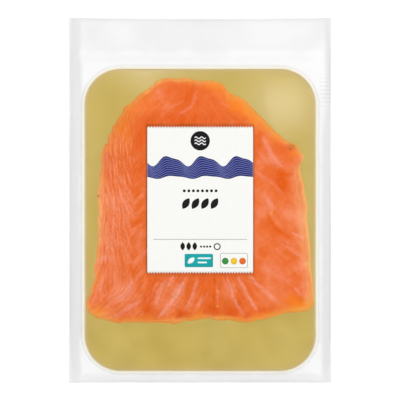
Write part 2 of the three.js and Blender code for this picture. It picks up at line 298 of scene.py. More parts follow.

# %% [markdown]
# ## Seams of fat that are placed one by one
#
# The broad seams are what makes this slice recognisable, so they are drawn one by one, as smooth
# lines through a few points. A seam is sharp on one side and fades out on the other, because the
# sheet of fat lies at a slant in the flesh. Each dark groove is drawn in the same way: it is carved a
# little into the relief, and its deeper colour is painted shade.

# %% The lines of the seams
PALE_SEAMS = [  # points in mm, then how far it fades to the left and right of its course, and its strength
    # the fan below the label
    ([(-22.6, -51.0), (-27.8, -59.2), (-28.8, -64.0), (-30.4, -71.0)], 1.9, 0.5, 0.6),
    ([(-17.4, -49.5), (-19.8, -54.0), (-22.0, -57.6)], 0.6, 0.9, 0.65),
    ([(-10.2, -54.0), (-12.0, -57.4), (-14.4, -61.0), (-17.8, -65.2)], 1.4, 2.2, 0.85),
    ([(-8.6, -51.0), (-10.6, -55.6)], 0.6, 0.6, 0.5),
    ([(-11.8, -56.8), (-17.0, -64.2), (-21.0, -69.6), (-25.6, -75.0), (-28.4, -78.9)], 1.1, 0.7, 1.0),
    ([(-12.8, -58.4), (-15.2, -62.0), (-17.8, -65.4)], 1.0, 0.8, 1.4),
    ([(-2.2, -51.5), (-3.9, -57.5), (-5.3, -62.3), (-7.0, -66.5), (-8.6, -70.0), (-11.5, -73.4)],
     1.6, 0.4, 0.65),
    ([(5.2, -60.3), (0.5, -66.3), (-3.5, -72.3)], 1.4, 0.5, 0.35),
    ([(10.9, -53.5), (11.2, -60.0), (11.4, -69.3)], 0.7, 0.4, 0.45),
    ([(17.2, -50.4), (19.6, -56.0), (21.8, -63.0), (24.4, -68.8), (27.0, -72.6), (30.2, -77.6)],
     0.5, 1.0, 0.75),
    ([(15.2, -52.0), (17.8, -58.0), (20.4, -64.0)], 1.5, 1.6, 0.2),
    ([(24.8, -49.7), (28.4, -56.3), (31.8, -63.7), (34.8, -68.2), (39.6, -74.8)], 0.5, 1.2, 0.75),
    ([(32.6, -49.2), (36.4, -54.0), (40.3, -57.6), (44.2, -61.2), (48.2, -64.8), (53.4, -69.4)],
     1.0, 1.2, 0.7),
    # the lower left
    ([(-64.6, -79.6), (-56.6, -76.9), (-50.0, -72.3), (-44.7, -69.0), (-37.3, -65.7)], 0.6, 1.6, 0.6),
    ([(-55.3, -67.0), (-49.3, -61.0), (-44.0, -53.0)], 1.8, 2.2, 0.45),
    ([(-65.9, -61.0), (-64.6, -51.7)], 0.5, 0.5, 0.5),
    ([(-70.6, -41.1), (-65.9, -39.1), (-61.3, -36.4)], 1.0, 1.6, 0.4),
    ([(-36.0, -67.6), (-32.0, -60.3), (-28.0, -52.4)], 1.0, 1.2, 0.3),
    ([(-63.9, -71.6), (-58.6, -67.0), (-53.3, -65.0)], 0.8, 1.5, 0.35),
    # the right side
    ([(41.4, 43.0), (43.8, 37.6), (46.4, 32.6), (49.0, 28.2), (52.0, 24.2), (55.6, 20.8)], 1.0, 1.6, 0.75),
    ([(45.4, 30.6), (47.2, 26.4), (49.6, 23.2), (53.0, 20.6)], 0.6, 0.9, 0.35),
    ([(36.4, 34.0), (41.1, 28.0), (45.1, 23.4), (50.4, 20.4)], 1.0, 0.5, 0.2),
    ([(36.4, 20.0), (41.4, 16.4), (46.4, 13.5), (49.2, 11.2), (51.6, 8.2), (57.0, 2.5)], 0.5, 1.6, 0.35),
    ([(43.5, 2.0), (45.9, -1.5), (48.4, -7.5)], 1.2, 1.4, 0.7),
    ([(50.4, -24.5), (56.3, -28.4), (63.0, -32.4)], 2.4, 2.6, 0.2),
    ([(55.0, -30.6), (59.7, -32.8), (63.0, -35.1), (66.3, -38.4)], 1.6, 0.6, 0.4),
    ([(40.4, -42.4), (45.1, -45.7), (50.4, -48.4), (56.3, -51.7), (61.7, -55.7)], 2.4, 2.6, 0.3),
    ([(61.7, -57.7), (65.7, -62.3), (70.3, -64.3)], 1.6, 0.6, 0.5),
    ([(60.5, -21.8), (64.0, -23.0), (66.6, -23.8), (69.2, -26.6)], 0.6, 0.8, 0.65),
    # the top
    ([(-1.8, 72.6), (-3.8, 66.6), (-6.1, 61.9), (-10.1, 58.6), (-15.4, 56.0)], 0.5, 0.9, 0.42),
    ([(-9.4, 65.3), (-16.1, 62.6), (-21.4, 59.3), (-26.7, 54.6)], 0.5, 1.1, 0.22),
    ([(13.5, 65.5), (17.0, 63.0), (20.5, 61.5)], 0.5, 0.7, 0.3),
    ([(3.9, 57.9), (1.2, 52.6)], 0.4, 0.4, 0.2),
]
CHEVRONS = [  # soft pale bands of the herringbone, one below the other
    ([(-49.3, 36.0), (-44.7, 26.7), (-38.0, 32.4)], 1.3, 1.7, 0.6),
    ([(-51.3, 28.0), (-48.0, 19.4), (-44.0, 10.8), (-37.0, 16.8)], 1.3, 1.8, 0.9),
    ([(-54.0, 18.7), (-49.3, 8.8), (-44.0, -0.5), (-37.0, 4.8)], 1.3, 1.7, 0.8),
    ([(-53.3, 6.1), (-48.6, -2.5), (-44.0, -10.5), (-37.0, -3.9)], 1.3, 1.7, 0.8),
    ([(-54.0, -3.9), (-49.3, -12.5), (-44.7, -20.5), (-37.0, -13.2)], 1.3, 1.9, 1.0),
    ([(-53.3, -15.8), (-48.6, -23.8), (-44.7, -31.4), (-37.0, -23.5)], 1.3, 1.7, 0.8),
    ([(-53.3, -27.1), (-48.6, -34.4), (-44.7, -41.1), (-37.0, -32.1)], 1.3, 1.9, 1.0),
    ([(-54.0, -39.7), (-49.3, -47.7), (-44.0, -53.4), (-37.0, -42.7)], 1.3, 1.9, 1.0),
]
# grooves carved a little into the relief, whose deeper orange is painted shade
SHADED_GROOVES = [
    ([(-66.6, -47.7), (-69.2, -55.0), (-73.9, -64.3)], 0.9, 0.7, 0.7),
    ([(51.7, 18.7), (56.3, 17.6), (63.7, 17.4)], 0.5, 1.3, 0.9),
    ([(44.0, -9.0), (47.5, -15.0), (51.4, -19.8), (56.3, -23.4), (62.5, -26.4)], 0.9, 0.9, 0.8),
    ([(38.4, -32.4), (41.7, -37.1)], 0.8, 0.8, 0.4),
    ([(54.4, -33.1), (60.3, -35.8), (64.3, -39.7)], 0.6, 1.2, 0.4),
    ([(-18.1, 77.2), (-11.4, 76.6), (-4.1, 72.6)], 0.8, 0.6, 0.3),
    ([(-63.3, -80.9), (-54.6, -78.3), (-46.6, -72.3)], 0.6, 0.8, 0.5),
    ([(-21.4, -50.4), (-24.7, -55.0)], 0.6, 0.6, 0.4),
    ([(9.6, -50.4), (10.0, -60.0), (9.8, -70.3)], 0.5, 1.6, 0.6),
]


# %% Draw the seams into a map
SEAM_POINTS = 48
SEAM_REACH = 7  # no seam is drawn farther than this from its course, in mm


def draw_seams(seams):
    """The strongest seam at each cell of the map."""
    drawing = np.zeros_like(grain_x)
    wobble = 0.3 * noise(grain_x, grain_y, 4, 21) + 0.18 * noise(grain_x, grain_y, 1.5, 22)
    for points, fade_left, fade_right, strength in seams:
        line = smooth_curve(points, SEAM_POINTS, closed=False)
        low, high = line.min(0) - SEAM_REACH, line.max(0) + SEAM_REACH
        rows, columns = np.nonzero(
            (grain_x > low[0]) & (grain_x < high[0]) & (grain_y > low[1]) & (grain_y < high[1])
        )
        x, y = grain_x[rows, columns], grain_y[rows, columns]
        nearest = np.argmin((x[:, None] - line[:, 0]) ** 2 + (y[:, None] - line[:, 1]) ** 2, axis=1)
        course = np.gradient(line, axis=0)
        course /= np.hypot(*course.T)[:, None]
        offset = np.column_stack([x, y]) - line[nearest]
        side = course[nearest, 0] * offset[:, 1] - course[nearest, 1] * offset[:, 0] + wobble[rows, columns]
        past_end = (course[nearest] * offset).sum(1)
        share = nearest / (SEAM_POINTS - 1)
        taper = 0.75 + 0.6 * np.sin(np.pi * share)
        fade = np.where(side > 0, fade_left, fade_right) * taper
        ends = smooth_step(share / 0.15 + 0.25) * smooth_step((1 - share) / 0.2 + 0.15)
        value = strength * ends * np.exp(-((side / fade) ** 2) - (past_end / 0.8) ** 2)
        drawing[rows, columns] = np.maximum(drawing[rows, columns], value)
    return drawing


fat_seams = draw_seams(PALE_SEAMS)
chevrons = draw_seams(CHEVRONS)
shaded_grooves = draw_seams(SHADED_GROOVES)
print("seams:", len(PALE_SEAMS), "chevrons:", len(CHEVRONS), "grooves:", len(SHADED_GROOVES))

# %% [markdown]
# ## Colour maps
#
# Five maps say what the flesh is like at each place. Tone runs from pale pink over salmon to deep
# orange. Fat is how much fat lies at the surface. Amber is where the slice is so thin that the gold
# board glows through it, mostly along its edges, and glow is where it is thinner still; its smallest
# spots are painted highlights. Shade is all that darkens it: painted shadow along the label's edges
# and between its teeth, dark specks, and painted shade on the ridges, along the upper-left edge and at the
# left and the foot.
#
# The maps could be painted by hand in Blender. Adding them up from noise, streaks, seams and soft
# spots keeps each effect apart, so that one can be changed without the others.

# %% Spots of deep, pink and amber flesh
DEEP_SPOTS = [  # x, y, width, height in mm, turn in degrees, strength
    (55.0, 9.4, 3.3, 8.6, 20, 1.0), (-33.4, -63.0, 2.7, 8.0, -10, 0.7), (-35.4, -72.3, 4.0, 2.7, 0, 0.7),
    (-6.8, 54.0, 27.9, 4.0, 0, 0.6), (-40.7, 38.7, 4.0, 10.6, -15, 0.6), (-38.7, 23.4, 3.3, 6.6, 0, 0.4),
    (37.7, 36.0, 3.3, 10.6, -20, 0.7), (41.1, 50.0, 7.0, 4.0, -40, 0.15), (13.2, -76.9, 14.6, 4.0, 0, 0.9),
    (31.8, -76.9, 4.0, 3.3, 0, 0.8), (44.4, -73.6, 6.0, 2.7, 0, 0.8), (66.3, -67.0, 6.6, 4.0, 0, 0.9),
    (46.4, -18.5, 9.3, 5.3, -35, 0.35), (41.1, -35.8, 4.0, 5.3, 0, 0.25), (56.3, -41.1, 8.0, 3.3, -30, 0.15),
    (23.8, -66.3, 3.3, 6.6, 20, 0.4), (2.5, -57.0, 2.7, 8.0, 10, 0.4), (56.3, 35.4, 4.0, 3.3, 0, 0.4),
    (-0.1, 78.5, 14.6, 3.3, 0, 0.3), (8.5, 62.6, 6.6, 6.6, 0, 0.35), (66.0, 5.0, 4.0, 9.0, 0, 0.7),
    (-13.4, -75.0, 4.0, 2.7, 0, 0.6), (-32.0, -56.3, 2.0, 4.0, 0, 0.5), (33.1, -59.7, 2.0, 5.3, 30, 0.3),
    (-47.0, 17.0, 5.0, 15.0, 5, 0.35), (-62.0, 24.0, 5.0, 9.0, 0, 0.15), (-12.0, 64.0, 10.0, 8.0, 0, 0.45),
    (0.0, 74.0, 14.0, 5.0, 0, 0.3), (46.0, 14.0, 7.0, 5.0, 0, 0.45), (9.0, -52.5, 5.0, 6.0, 0, 0.5),
    (-9.8, -76.8, 4.0, 2.4, 0, 1.2), (8.0, -73.6, 4.0, 5.0, 0, 1.0), (22.0, -75.6, 3.2, 3.4, 0, 1.0),
    (-41.0, -57.0, 4.0, 7.0, 20, 0.4), (-56.0, -55.0, 5.0, 5.0, 0, 0.25), (-4.0, 66.0, 16.0, 8.0, 0, 0.1),
    (-40.5, -5.0, 3.0, 26.0, 0, 0.3), (53.0, 13.0, 4.0, 7.0, 20, 0.4),
]
PINK_SPOTS = [
    (-54.6, -3.2, 8.6, 13.3, 0, 0.7), (-58.6, -26.4, 6.6, 14.6, 0, 0.45), (-56.0, -58.3, 12.0, 8.0, 20, 0.4),
    (62.3, -9.8, 8.0, 6.0, -30, 0.65), (45.1, -3.9, 6.0, 6.6, -30, 0.2), (50.4, -63.0, 9.3, 5.3, -30, 0.4),
    (-20.1, -62.3, 6.6, 8.0, 30, 0.3), (60.0, -19.0, 7.0, 6.0, 0, 0.3), (-25.0, 70.0, 9.0, 9.0, 20, 0.35),
    (54.0, -35.0, 8.0, 7.0, -30, 0.2), (21.1, -58.3, 3.3, 6.0, 20, 0.25), (66.3, -45.1, 4.0, 9.3, 0, 0.4),
    (-48.0, -63.7, 8.0, 5.3, 35, 0.35), (-52.0, 38.0, 9.0, 22.0, 15, 0.35), (-61.0, 2.0, 4.0, 9.0, 0, 0.5),
    (40.0, -13.0, 5.0, 5.0, -30, 0.4), (-18.0, -52.0, 6.0, 4.0, 30, 0.3), (-40.0, -22.0, 3.0, 14.0, 0, 0.3),
    (68.0, -14.0, 3.0, 8.0, 0, 0.4), (-40.0, -68.0, 3.0, 6.0, 0, 0.4), (-65.0, -72.0, 6.0, 3.0, 20, 0.4),
]
AMBER_SPOTS = [
    (-65.9, -73.6, 6.0, 4.0, 20, 0.9), (-68.6, -37.1, 2.7, 5.3, 0, 0.6), (-67.9, -54.4, 2.0, 6.6, -20, 0.7),
    (-73.2, -67.6, 2.7, 5.3, 0, 0.2), (-49.3, -78.9, 15.9, 2.0, 4, 0.5), (66.3, -69.6, 8.0, 2.7, 0, 0.8),
    (13.2, -78.3, 22.6, 2.7, 0, 0.8), (45.1, -75.0, 12.0, 2.0, 0, 0.7), (-55.3, 53.3, 3.3, 8.0, 30, 0.6),
    (-63.3, 36.7, 2.0, 8.0, 20, 0.5), (26.4, 68.6, 13.3, 5.3, -40, 0.6), (49.7, 48.0, 9.3, 3.3, -42, 0.5),
    (32.0, 60.0, 14.0, 6.0, -42, 0.7), (61.0, 33.4, 4.0, 5.3, 0, 0.4), (67.6, 16.7, 2.0, 9.3, 0, 0.5),
    (60.3, -65.7, 5.3, 3.3, 0, 0.4), (20.0, 62.0, 8.0, 5.0, -35, 0.35), (-50.0, 46.0, 6.0, 16.0, 15, 0.5),
    (64.0, -67.0, 6.0, 4.0, -20, 0.9), (10.0, 75.0, 14.0, 6.0, -20, 0.45), (-38.0, 62.0, 11.0, 5.0, 38, 0.4),
]
GLOW_AND_GLINT_SPOTS = [  # where the flesh is so thin that the card almost shows; spots under 2 mm both ways are painted glints
    (71.0, -66.0, 2.6, 5.0, 0, 0.5), (67.0, -71.8, 7.0, 1.2, 0, 0.5), (-66.0, -75.5, 5.0, 1.5, 10, 0.4),
    (-66.4, 30.5, 1.3, 3.6, 0, 0.9), (-27.3, 78.6, 1.5, 1.1, 20, 0.9), (-31.6, 76.0, 1.3, 1.0, 30, 0.8),
    (-35.2, 72.2, 1.6, 1.1, 40, 0.8), (-47.5, 63.5, 1.6, 1.0, 45, 0.5), (-16.0, -79.5, 6.0, 1.0, 0, 0.4),
    (14.0, -78.0, 9.0, 1.0, 0, 0.5), (11.6, -60.6, 0.7, 0.7, 0, 0.9), (11.4, -70.2, 0.8, 0.6, 0, 0.9),
    (38.0, -52.4, 0.5, 0.5, 0, 0.5), (33.4, -51.6, 0.7, 0.5, 0, 0.6), (70.2, -42.2, 0.8, 1.0, 0, 0.7),
    (46.9, -8.6, 0.8, 1.2, 0, 0.5),
]


def spots(table, gain):
    """A map of all spots of a table, each with its own strength times the gain."""
    total = np.zeros_like(grain_x)
    for *place, strength in table:
        total += gain * strength * patch(grain_x, grain_y, *place)
    return total


print("spots:", len(DEEP_SPOTS + PINK_SPOTS + AMBER_SPOTS + GLOW_AND_GLINT_SPOTS))

# %% Where each pattern lies, from 0 to 1
beside_label = smooth_step((grain_x + 50) / 6)
herringbone = smooth_step((-36 - grain_x) / 9) * smooth_step((grain_y + 66) / 34) * (1 - 0.6 * beside_label)
lower_left = smooth_step((-24 - grain_x) / 10) * smooth_step((-50 - grain_y) / 12)
upper_left = herringbone * smooth_step((grain_y - 8) / 16)
right_side = smooth_step((grain_x - 30) / 12)
ridge = 0.06 + 0.94 * np.maximum(herringbone, 0.35 * lower_left)
print("share of the map with strong ridges:", round((ridge > 0.5).mean(), 2))

# %% The fat map
pinker = 0.04 + 0.2 * patch(grain_x, grain_y, -58, -8, 13, 24)
broken = 0.78 + 0.13 * thread + 0.06 * strand + 0.2 * noise(grain_x, grain_y, 2.4, 36)
fat_map = np.clip(fat_seams * broken, 0, 1) * (1 - 0.25 * right_side)
fat_map = fat_map + (1 - fat_map) * ridge * pinker * smooth_step((strand - 0.1) / 1.9)
fat_map = np.clip(fat_map + 0.07 * chevrons, 0, 1)
print("mean fat", round(fat_map.mean(), 2))

# %% The tone map
tone_map = 0.47 + 0.12 * noise(grain_x, grain_y, 6, 31) + 0.1 * noise(grain_x, grain_y, 20, 32)
tone_map = tone_map + 0.05 * lower_left + 0.08 * right_side * noise(grain_x, grain_y, 9, 39)
tone_map = tone_map - (0.08 + 0.04 * upper_left) * ridge * strand - 0.04 * (1 - 0.8 * right_side) * thread
tone_map = tone_map - (0.05 - 0.02 * right_side) * flake
tone_map = tone_map + 0.06 * noise(grain_x, grain_y, 2.2, 34) + 0.05 * noise(grain_x, grain_y, 1.1, 37)
tone_map = tone_map + spots(DEEP_SPOTS, 0.55) - spots(PINK_SPOTS, 0.5) + 0.45 * shaded_grooves
tone_map = np.clip(tone_map - 0.13 * chevrons - 0.25 * fat_seams, 0, 1)
print("mean tone", round(tone_map.mean(), 2))

# %% The amber and the glow map, whose smallest spots are painted glints
amber_map = spots(AMBER_SPOTS, 0.9) * (0.85 + 0.15 * noise(grain_x, grain_y, 3, 33))
amber_map = amber_map - spots(DEEP_SPOTS, 0.6) + 0.35 * upper_left * smooth_step((0.2 - strand) / 2)
glow_and_glint_map = spots(GLOW_AND_GLINT_SPOTS, 0.8)
print("most amber", round(amber_map.max(), 2), "most glow", round(glow_and_glint_map.max(), 2))

# %% Painted shade: darker flesh at the left and the foot, and ridges and fine lines that catch more light
foot = smooth_step(-grain_y / 40)
below_top = 1 - smooth_step((grain_y - 50) / 12)
darker_side = (1 - smooth_step((grain_x - 20) / 20)) * below_top
fine_lines = 0.6 * (1 - 0.6 * right_side) * thread + 1.5 * noise(grain_x, grain_y, 1.1, 38)
fine_lines = ridge * strand + (1 - ridge) * fine_lines
# painted shade, strongest at the left, the foot and the upper left; on the ridges it follows the strands as
# painted light and shade
ridge_shade_map = 0.03 * below_top + (0.025 + 0.03 * foot) * darker_side + 0.03 * upper_left
ridge_shade_map = ridge_shade_map - (0.025 + 0.025 * darker_side) * fine_lines
print("dullest", round(ridge_shade_map.max(), 2))

# %% The shade map: painted shadow along the label's edges and between its teeth, and dark specks
TEETH = 38  # on each end of the label
SPECKS = [  # x, y and size of a dark speck in mm, and its strength
    (59.7, 33.8, 0.8, 0.7), (61.7, 36.0, 0.6, 0.6), (60.6, 35.2, 2.4, 0.3), (-67.6, 2.8, 0.9, 0.7),
    (33.5, -52.5, 0.6, 0.6), (35.0, -53.8, 0.6, 0.6), (11.8, -56.0, 0.5, 0.6), (26.5, -54.5, 0.4, 0.5),
    (52, -5, 0.4, 0.4), (-58, 14, 0.5, 0.4), (-57.4, -10, 0.4, 0.4),
    # these three soft specks are painted shade between the shingles of the upper left
    (-54.6, 50.8, 1.3, 0.2), (-57.4, 44.6, 1.2, 0.18), (-59.8, 39.8, 1.1, 0.14),
]
label_half = (label_high - label_low)[:2] / 2
label_middle = (label_high + label_low)[:2] / 2
past_side = abs(grain_x - label_middle[0]) - label_half[0]
past_end = abs(grain_y - label_middle[1]) - label_half[1] - 0.2
past_label = np.maximum(past_side, past_end)
# painted shadow of the label on the flesh: along its sides, between its teeth, and below its foot
between_teeth = 0.5 + 0.5 * np.cos(2 * np.pi * (grain_x - label_middle[0]) * TEETH / 2 / label_half[0])
between_teeth = (0.1 + 0.9 * between_teeth) * (0.85 + 0.35 * noise(grain_x, grain_y, 7, 35))
side_shadow = np.exp(-((past_side - 0.2) / np.where(grain_x > 0, 0.8, 1.15)) ** 2) * (past_end < 0.3)
teeth_shadow = np.exp(-((past_end - 0.7) / 1.1) ** 2) * between_teeth * (past_side < 0.3)
shadow_below_label = np.exp(-((past_end - 0.6) / 2.4) ** 2) * (past_side < 0.3) * (grain_y < 0)
shade_map = np.maximum(0.52 * side_shadow, np.where(grain_y > 0, 0.95, 0.6) * teeth_shadow)
shade_map = np.maximum(np.maximum(shade_map, 0.29 * shadow_below_label), ridge_shade_map)
for at_x, at_y, size, strength in SPECKS:
    shade_map = np.maximum(shade_map, strength * patch(grain_x, grain_y, at_x, at_y, size, size))
fat_map = fat_map * (1 - shade_map)
print("specks:", len(SPECKS))

# %% The low relief of strands and seams, in mm
relief_map = 0.05 * ridge * strand + 0.02 * thread + 0.03 * flake - 0.12 * fat_seams - 0.14 * shaded_grooves
relief_map = relief_map * smooth_step((past_label + 2) / 4)
print("relief from", round(relief_map.min(), 2), "to", round(relief_map.max(), 2), "mm")


# %% Read a map at any point
def between_cells(values, column, row):
    """A value blended from the four cells round a place, given as a column and a row with fractions."""
    column, row = np.clip(column, 0, values.shape[1] - 1.001), np.clip(row, 0, values.shape[0] - 1.001)
    j, i = column.astype(int), row.astype(int)
    s, t = column - j, row - i
    below = values[i, j] * (1 - s) + values[i, j + 1] * s
    above = values[i + 1, j] * (1 - s) + values[i + 1, j + 1] * s
    return below * (1 - t) + above * t


def read_map(values, x, y):
    """The value of a map of the slice at any point."""
    return between_cells(values, (x - grain_x[0, 0]) / GRAIN_STEP, (y - grain_y[0, 0]) / GRAIN_STEP)


# %% [markdown]
# ## The shape of the slices
#
# Each slice is thick in its middle and feathers out to a thin edge. Its height at a point depends
# on how far inside the edge the point lies, so the height is a function, and the film can use the
# same function later to lie on the fish.

# %% Heights of the two slices
FEATHER = 6.5  # mm inside the rim where a slice has reached two thirds of its thickness
LIP = 0.35  # mm, the thickness of the outermost edge
LOWER_THICKNESS = 2.15
TOP_THICKNESS = 2.4
BOARD_GAP = 0.03  # mm left free, so that no two pieces share a face
SLICE_GAP = 0.02


def reach_function(rim):
    """How far the rim is from the middle, as a function of the angle."""
    angle = np.arctan2(rim[:, 1], rim[:, 0])
    order = np.argsort(angle)
    return lambda a: np.interp(a, angle[order], np.hypot(*rim.T)[order], period=2 * math.pi)


lower_reach, top_reach = reach_function(lower_rim), reach_function(top_rim)


def inside_of(reach, x, y):
    """How far inside the rim a point lies, along the line to the middle."""
    return reach(np.arctan2(y, x)) - np.hypot(x, y)


def feathered(inside, thickness):
    """The thickness of a slice at a point that lies so far inside its rim."""
    lip = LIP * (0.3 + 0.7 * np.sqrt(np.clip(inside / 0.5, 0, 1)))
    return lip + (thickness - LIP) * (1 - np.exp(-np.clip(inside, 0, None) / FEATHER))


def lower_underside(x, y):
    return np.full_like(x, BOARD_TOP + BOARD_GAP)


def lower_top(x, y):
    inside = inside_of(lower_reach, x, y)
    rise = feathered(inside, LOWER_THICKNESS)
    return lower_underside(x, y) + rise + swell(x, y) * smooth_step(inside / 10)


def upper_underside(x, y):
    return lower_top(x, y) + SLICE_GAP


def upper_top(x, y):
    inside = inside_of(top_reach, x, y)
    relief = read_map(relief_map, x, y) * smooth_step(inside / 2.5)
    return upper_underside(x, y) + feathered(inside, TOP_THICKNESS) + relief


print("slices,", LOWER_THICKNESS, "and", TOP_THICKNESS, "mm thick")

# %% [markdown]
# ## Making a mesh from rings
#
# A slice is a closed skin: rings of points from the middle of its top, over the edge, to the middle
# of its underside. Faces join each ring to the next. The rings lie close together where the fish
# shows and far apart below the label and underneath, so that no faces are wasted.

# %% Build closed meshes
def new_piece(name, points, faces):
    """A smooth mesh object from points in mm, which rides on the root body."""
    mesh = bpy.data.meshes.new(name)
    mesh.from_pydata((np.asarray(points) * MM).tolist(), [], faces)
    mesh.validate()
    mesh.polygons.foreach_set("use_smooth", [True] * len(mesh.polygons))
    mesh.update()
    piece = bpy.data.objects.new(name, mesh)
    bpy.context.scene.collection.objects.link(piece)
    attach(piece, "root")
    return piece


def hoop_faces(rings, count):
    """Faces of a closed hoop through rings of count points, whose last ring joins the first."""
    i = np.arange(count)
    j = (i + 1) % count
    faces = []
    for ring in range(rings):
        a, b = ring * count, (ring + 1) % rings * count
        faces += np.column_stack([a + i, a + j, b + j, b + i]).tolist()
    return faces


def ring_faces(rings, count):
    """Faces of a skin through rings of count points, with a middle point before and after them."""
    i = np.arange(count)
    j = (i + 1) % count
    last = rings * count + 1
    faces = [[0, 1 + a, 1 + b] for a, b in zip(i, j)]
    for ring in range(rings - 1):
        a, b = 1 + ring * count, 1 + (ring + 1) * count
        faces += np.column_stack([a + i, b + i, b + j, a + j]).tolist()
    start = 1 + (rings - 1) * count
    faces += [[last, start + b, start + a] for a, b in zip(i, j)]
    return faces


def slice_points(rim, upper, lower, shares):
    """Rings over the top from the middle outwards, then back in underneath."""
    rings = []
    for share in reversed(shares):
        x, y = (rim * (1 - share)).T
        rings.append(np.column_stack([x, y, upper(x, y)]))
    for share in [0.002, *shares[8::9]]:
        x, y = (rim * (1 - share)).T
        rings.append(np.column_stack([x, y, lower(x, y)]))
    zero = np.zeros(1)
    first = np.column_stack([zero, zero, upper(zero, zero)])
    last = np.column_stack([zero, zero, lower(zero, zero)])
    return np.vstack([first, *rings, last]), len(rings)


def add_attribute(piece, name, values):
    """A value for each point of the mesh, which a material can read by its name."""
    layer = piece.data.attributes.new(name, "FLOAT", "POINT")
    layer.data.foreach_set("value", np.asarray(values, np.float32))


# %% How the edge looks, all the way round
EDGE_LOOKS = np.array([  # degrees, strength of the amber band, its reach, and the reach of the glow, in mm
    (0, 0.0, 4, 2.8), (10, 0.1, 4, 2.2), (20, 0.3, 4, 1.8), (30, 0.6, 4, 1.2), (45, 0.9, 6, 2.4),
    (60, 0.9, 7, 2.8), (75, 0.9, 6, 2.1), (88, 0.8, 6, 1.2), (102, 0.4, 3, 1.0), (114, 0.6, 4, 1.2),
    (122, 0.9, 6, 1.1), (135, 0.9, 6, 0.9), (150, 1.0, 6, 0.8), (165, 0.6, 4, 1.0), (180, 0.25, 3, 2.0),
    (200, 0.3, 3, 1.7), (215, 0.7, 3, 1.0), (222, 0.4, 3, 0.8), (226, 0.7, 5, 1.8), (235, 0.5, 3, 1.0),
    (250, 0.7, 3, 0.8), (265, 0.9, 4, 1.1), (280, 1.0, 5, 1.2), (295, 0.9, 3.5, 1.0), (308, 0.9, 5, 1.6),
    (315, 1.0, 7, 2.6), (325, 0.5, 4, 2.8), (340, 0.0, 4, 3.2),
])


def edge_look(angle):
    """The three values of the table, blended for each angle round the slice."""
    degrees = np.degrees(angle) % 360
    return [np.interp(degrees, EDGE_LOOKS[:, 0], EDGE_LOOKS[:, k], period=360) for k in (1, 2, 3)]


print("edge looks set at", len(EDGE_LOOKS), "angles")

# %% Build the two slices
# where the rings lie, as shares of the way from the rim to the middle
lip_shares = [0, 0.0015, 0.004, 0.0075]
top_shares = lip_shares + list(np.arange(0.0125, 0.52, 0.0072)) + list(np.arange(0.54, 0.99, 0.05))
lower_shares = lip_shares + list(np.arange(0.0125, 0.12, 0.01)) + list(np.arange(0.16, 0.99, 0.09))

slices = {}
for name, node, rim, reach, upper, lower, shares in (
    ("salmon_lower_slice", "lower_slice", lower_rim, lower_reach, lower_top, lower_underside, lower_shares),
    ("salmon_top_slice", "top_slice", top_rim, top_reach, upper_top, upper_underside, top_shares),
):
    points, rings = slice_points(rim, upper, lower, shares)
    piece = new_piece(name, points, ring_faces(rings, RIM_POINTS))
    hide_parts(node)
    x, y = points[:, 0], points[:, 1]
    angle = np.arctan2(y, x)
    inside = np.clip(inside_of(reach, x, y), 0, None) * (1 + 0.3 * noise(x, y, 3.5, 51))
    outermost = smooth_step(1.8 - (lower_reach(angle) - reach(angle)))
    amber, amber_reach, glow_reach = edge_look(angle)
    amber = amber * np.exp(-((inside / amber_reach) ** 2))
    glow = np.exp(-inside / glow_reach)
    # painted shade along the upper-left edge of each slice
    dim = 0.12 * amber * smooth_step((-x - 30) / 15) * smooth_step(y / 20)
    if name == "salmon_top_slice":
        glow, amber = glow * (0.45 + 0.55 * outermost), amber * outermost
    else:
        glow = np.maximum(glow, 0.35 * (1 - outermost))
    add_attribute(piece, "fat", read_map(fat_map, x, y))
    add_attribute(piece, "tone", read_map(tone_map, x, y))
    add_attribute(piece, "amber", np.clip(amber + read_map(amber_map, x, y), 0, 1))
    add_attribute(piece, "glow", np.clip(glow + read_map(glow_and_glint_map, x, y), 0, 1))
    add_attribute(piece, "shade", read_map(shade_map, x, y) + dim)
    slices[name] = piece
    print(name, len(piece.data.vertices), "points, top at", round(points[:, 2].max(), 2), "mm")

# %% [markdown]
# ## The board
#
# The board is card with a gold foil face and a bare back. Its edges are cut, so they are crisp but
# not razor sharp. It is built as rings too, with a tiny rounding at the edge that catches light.

# %% Build the board
CORNER_RADIUS = 23.5


def round_rectangle(width, height, radius, centre=(0, 0), side_steps=1, corner_steps=24):
    """A rounded rectangle as points, counter-clockwise."""
    arcs = []
    for turn, (sx, sy) in enumerate(((1, 1), (-1, 1), (-1, -1), (1, -1))):
        angle = (turn + np.linspace(0, 1, corner_steps + 1)) * math.pi / 2
        x = centre[0] + sx * (width / 2 - radius) + radius * np.cos(angle)
        y = centre[1] + sy * (height / 2 - radius) + radius * np.sin(angle)
        arcs.append(np.column_stack([x, y]))
    points = []
    for arc, following in zip(arcs, arcs[1:] + arcs[:1]):
        points.append(arc)
        shares = np.linspace(0, 1, side_steps + 1)[1:-1, None]
        points.append(arc[-1] * (1 - shares) + following[0] * shares)
    return np.vstack(points)


board_size = board_high - board_low
board_middle = (board_high + board_low) / 2


def board_outline(outwards):
    """The board's outline, moved outwards by some mm, or inwards by a number below zero."""
    width, height = board_size[:2] + 2 * outwards
    return round_rectangle(width, height, CORNER_RADIUS + outwards, board_middle[:2], side_steps=20)


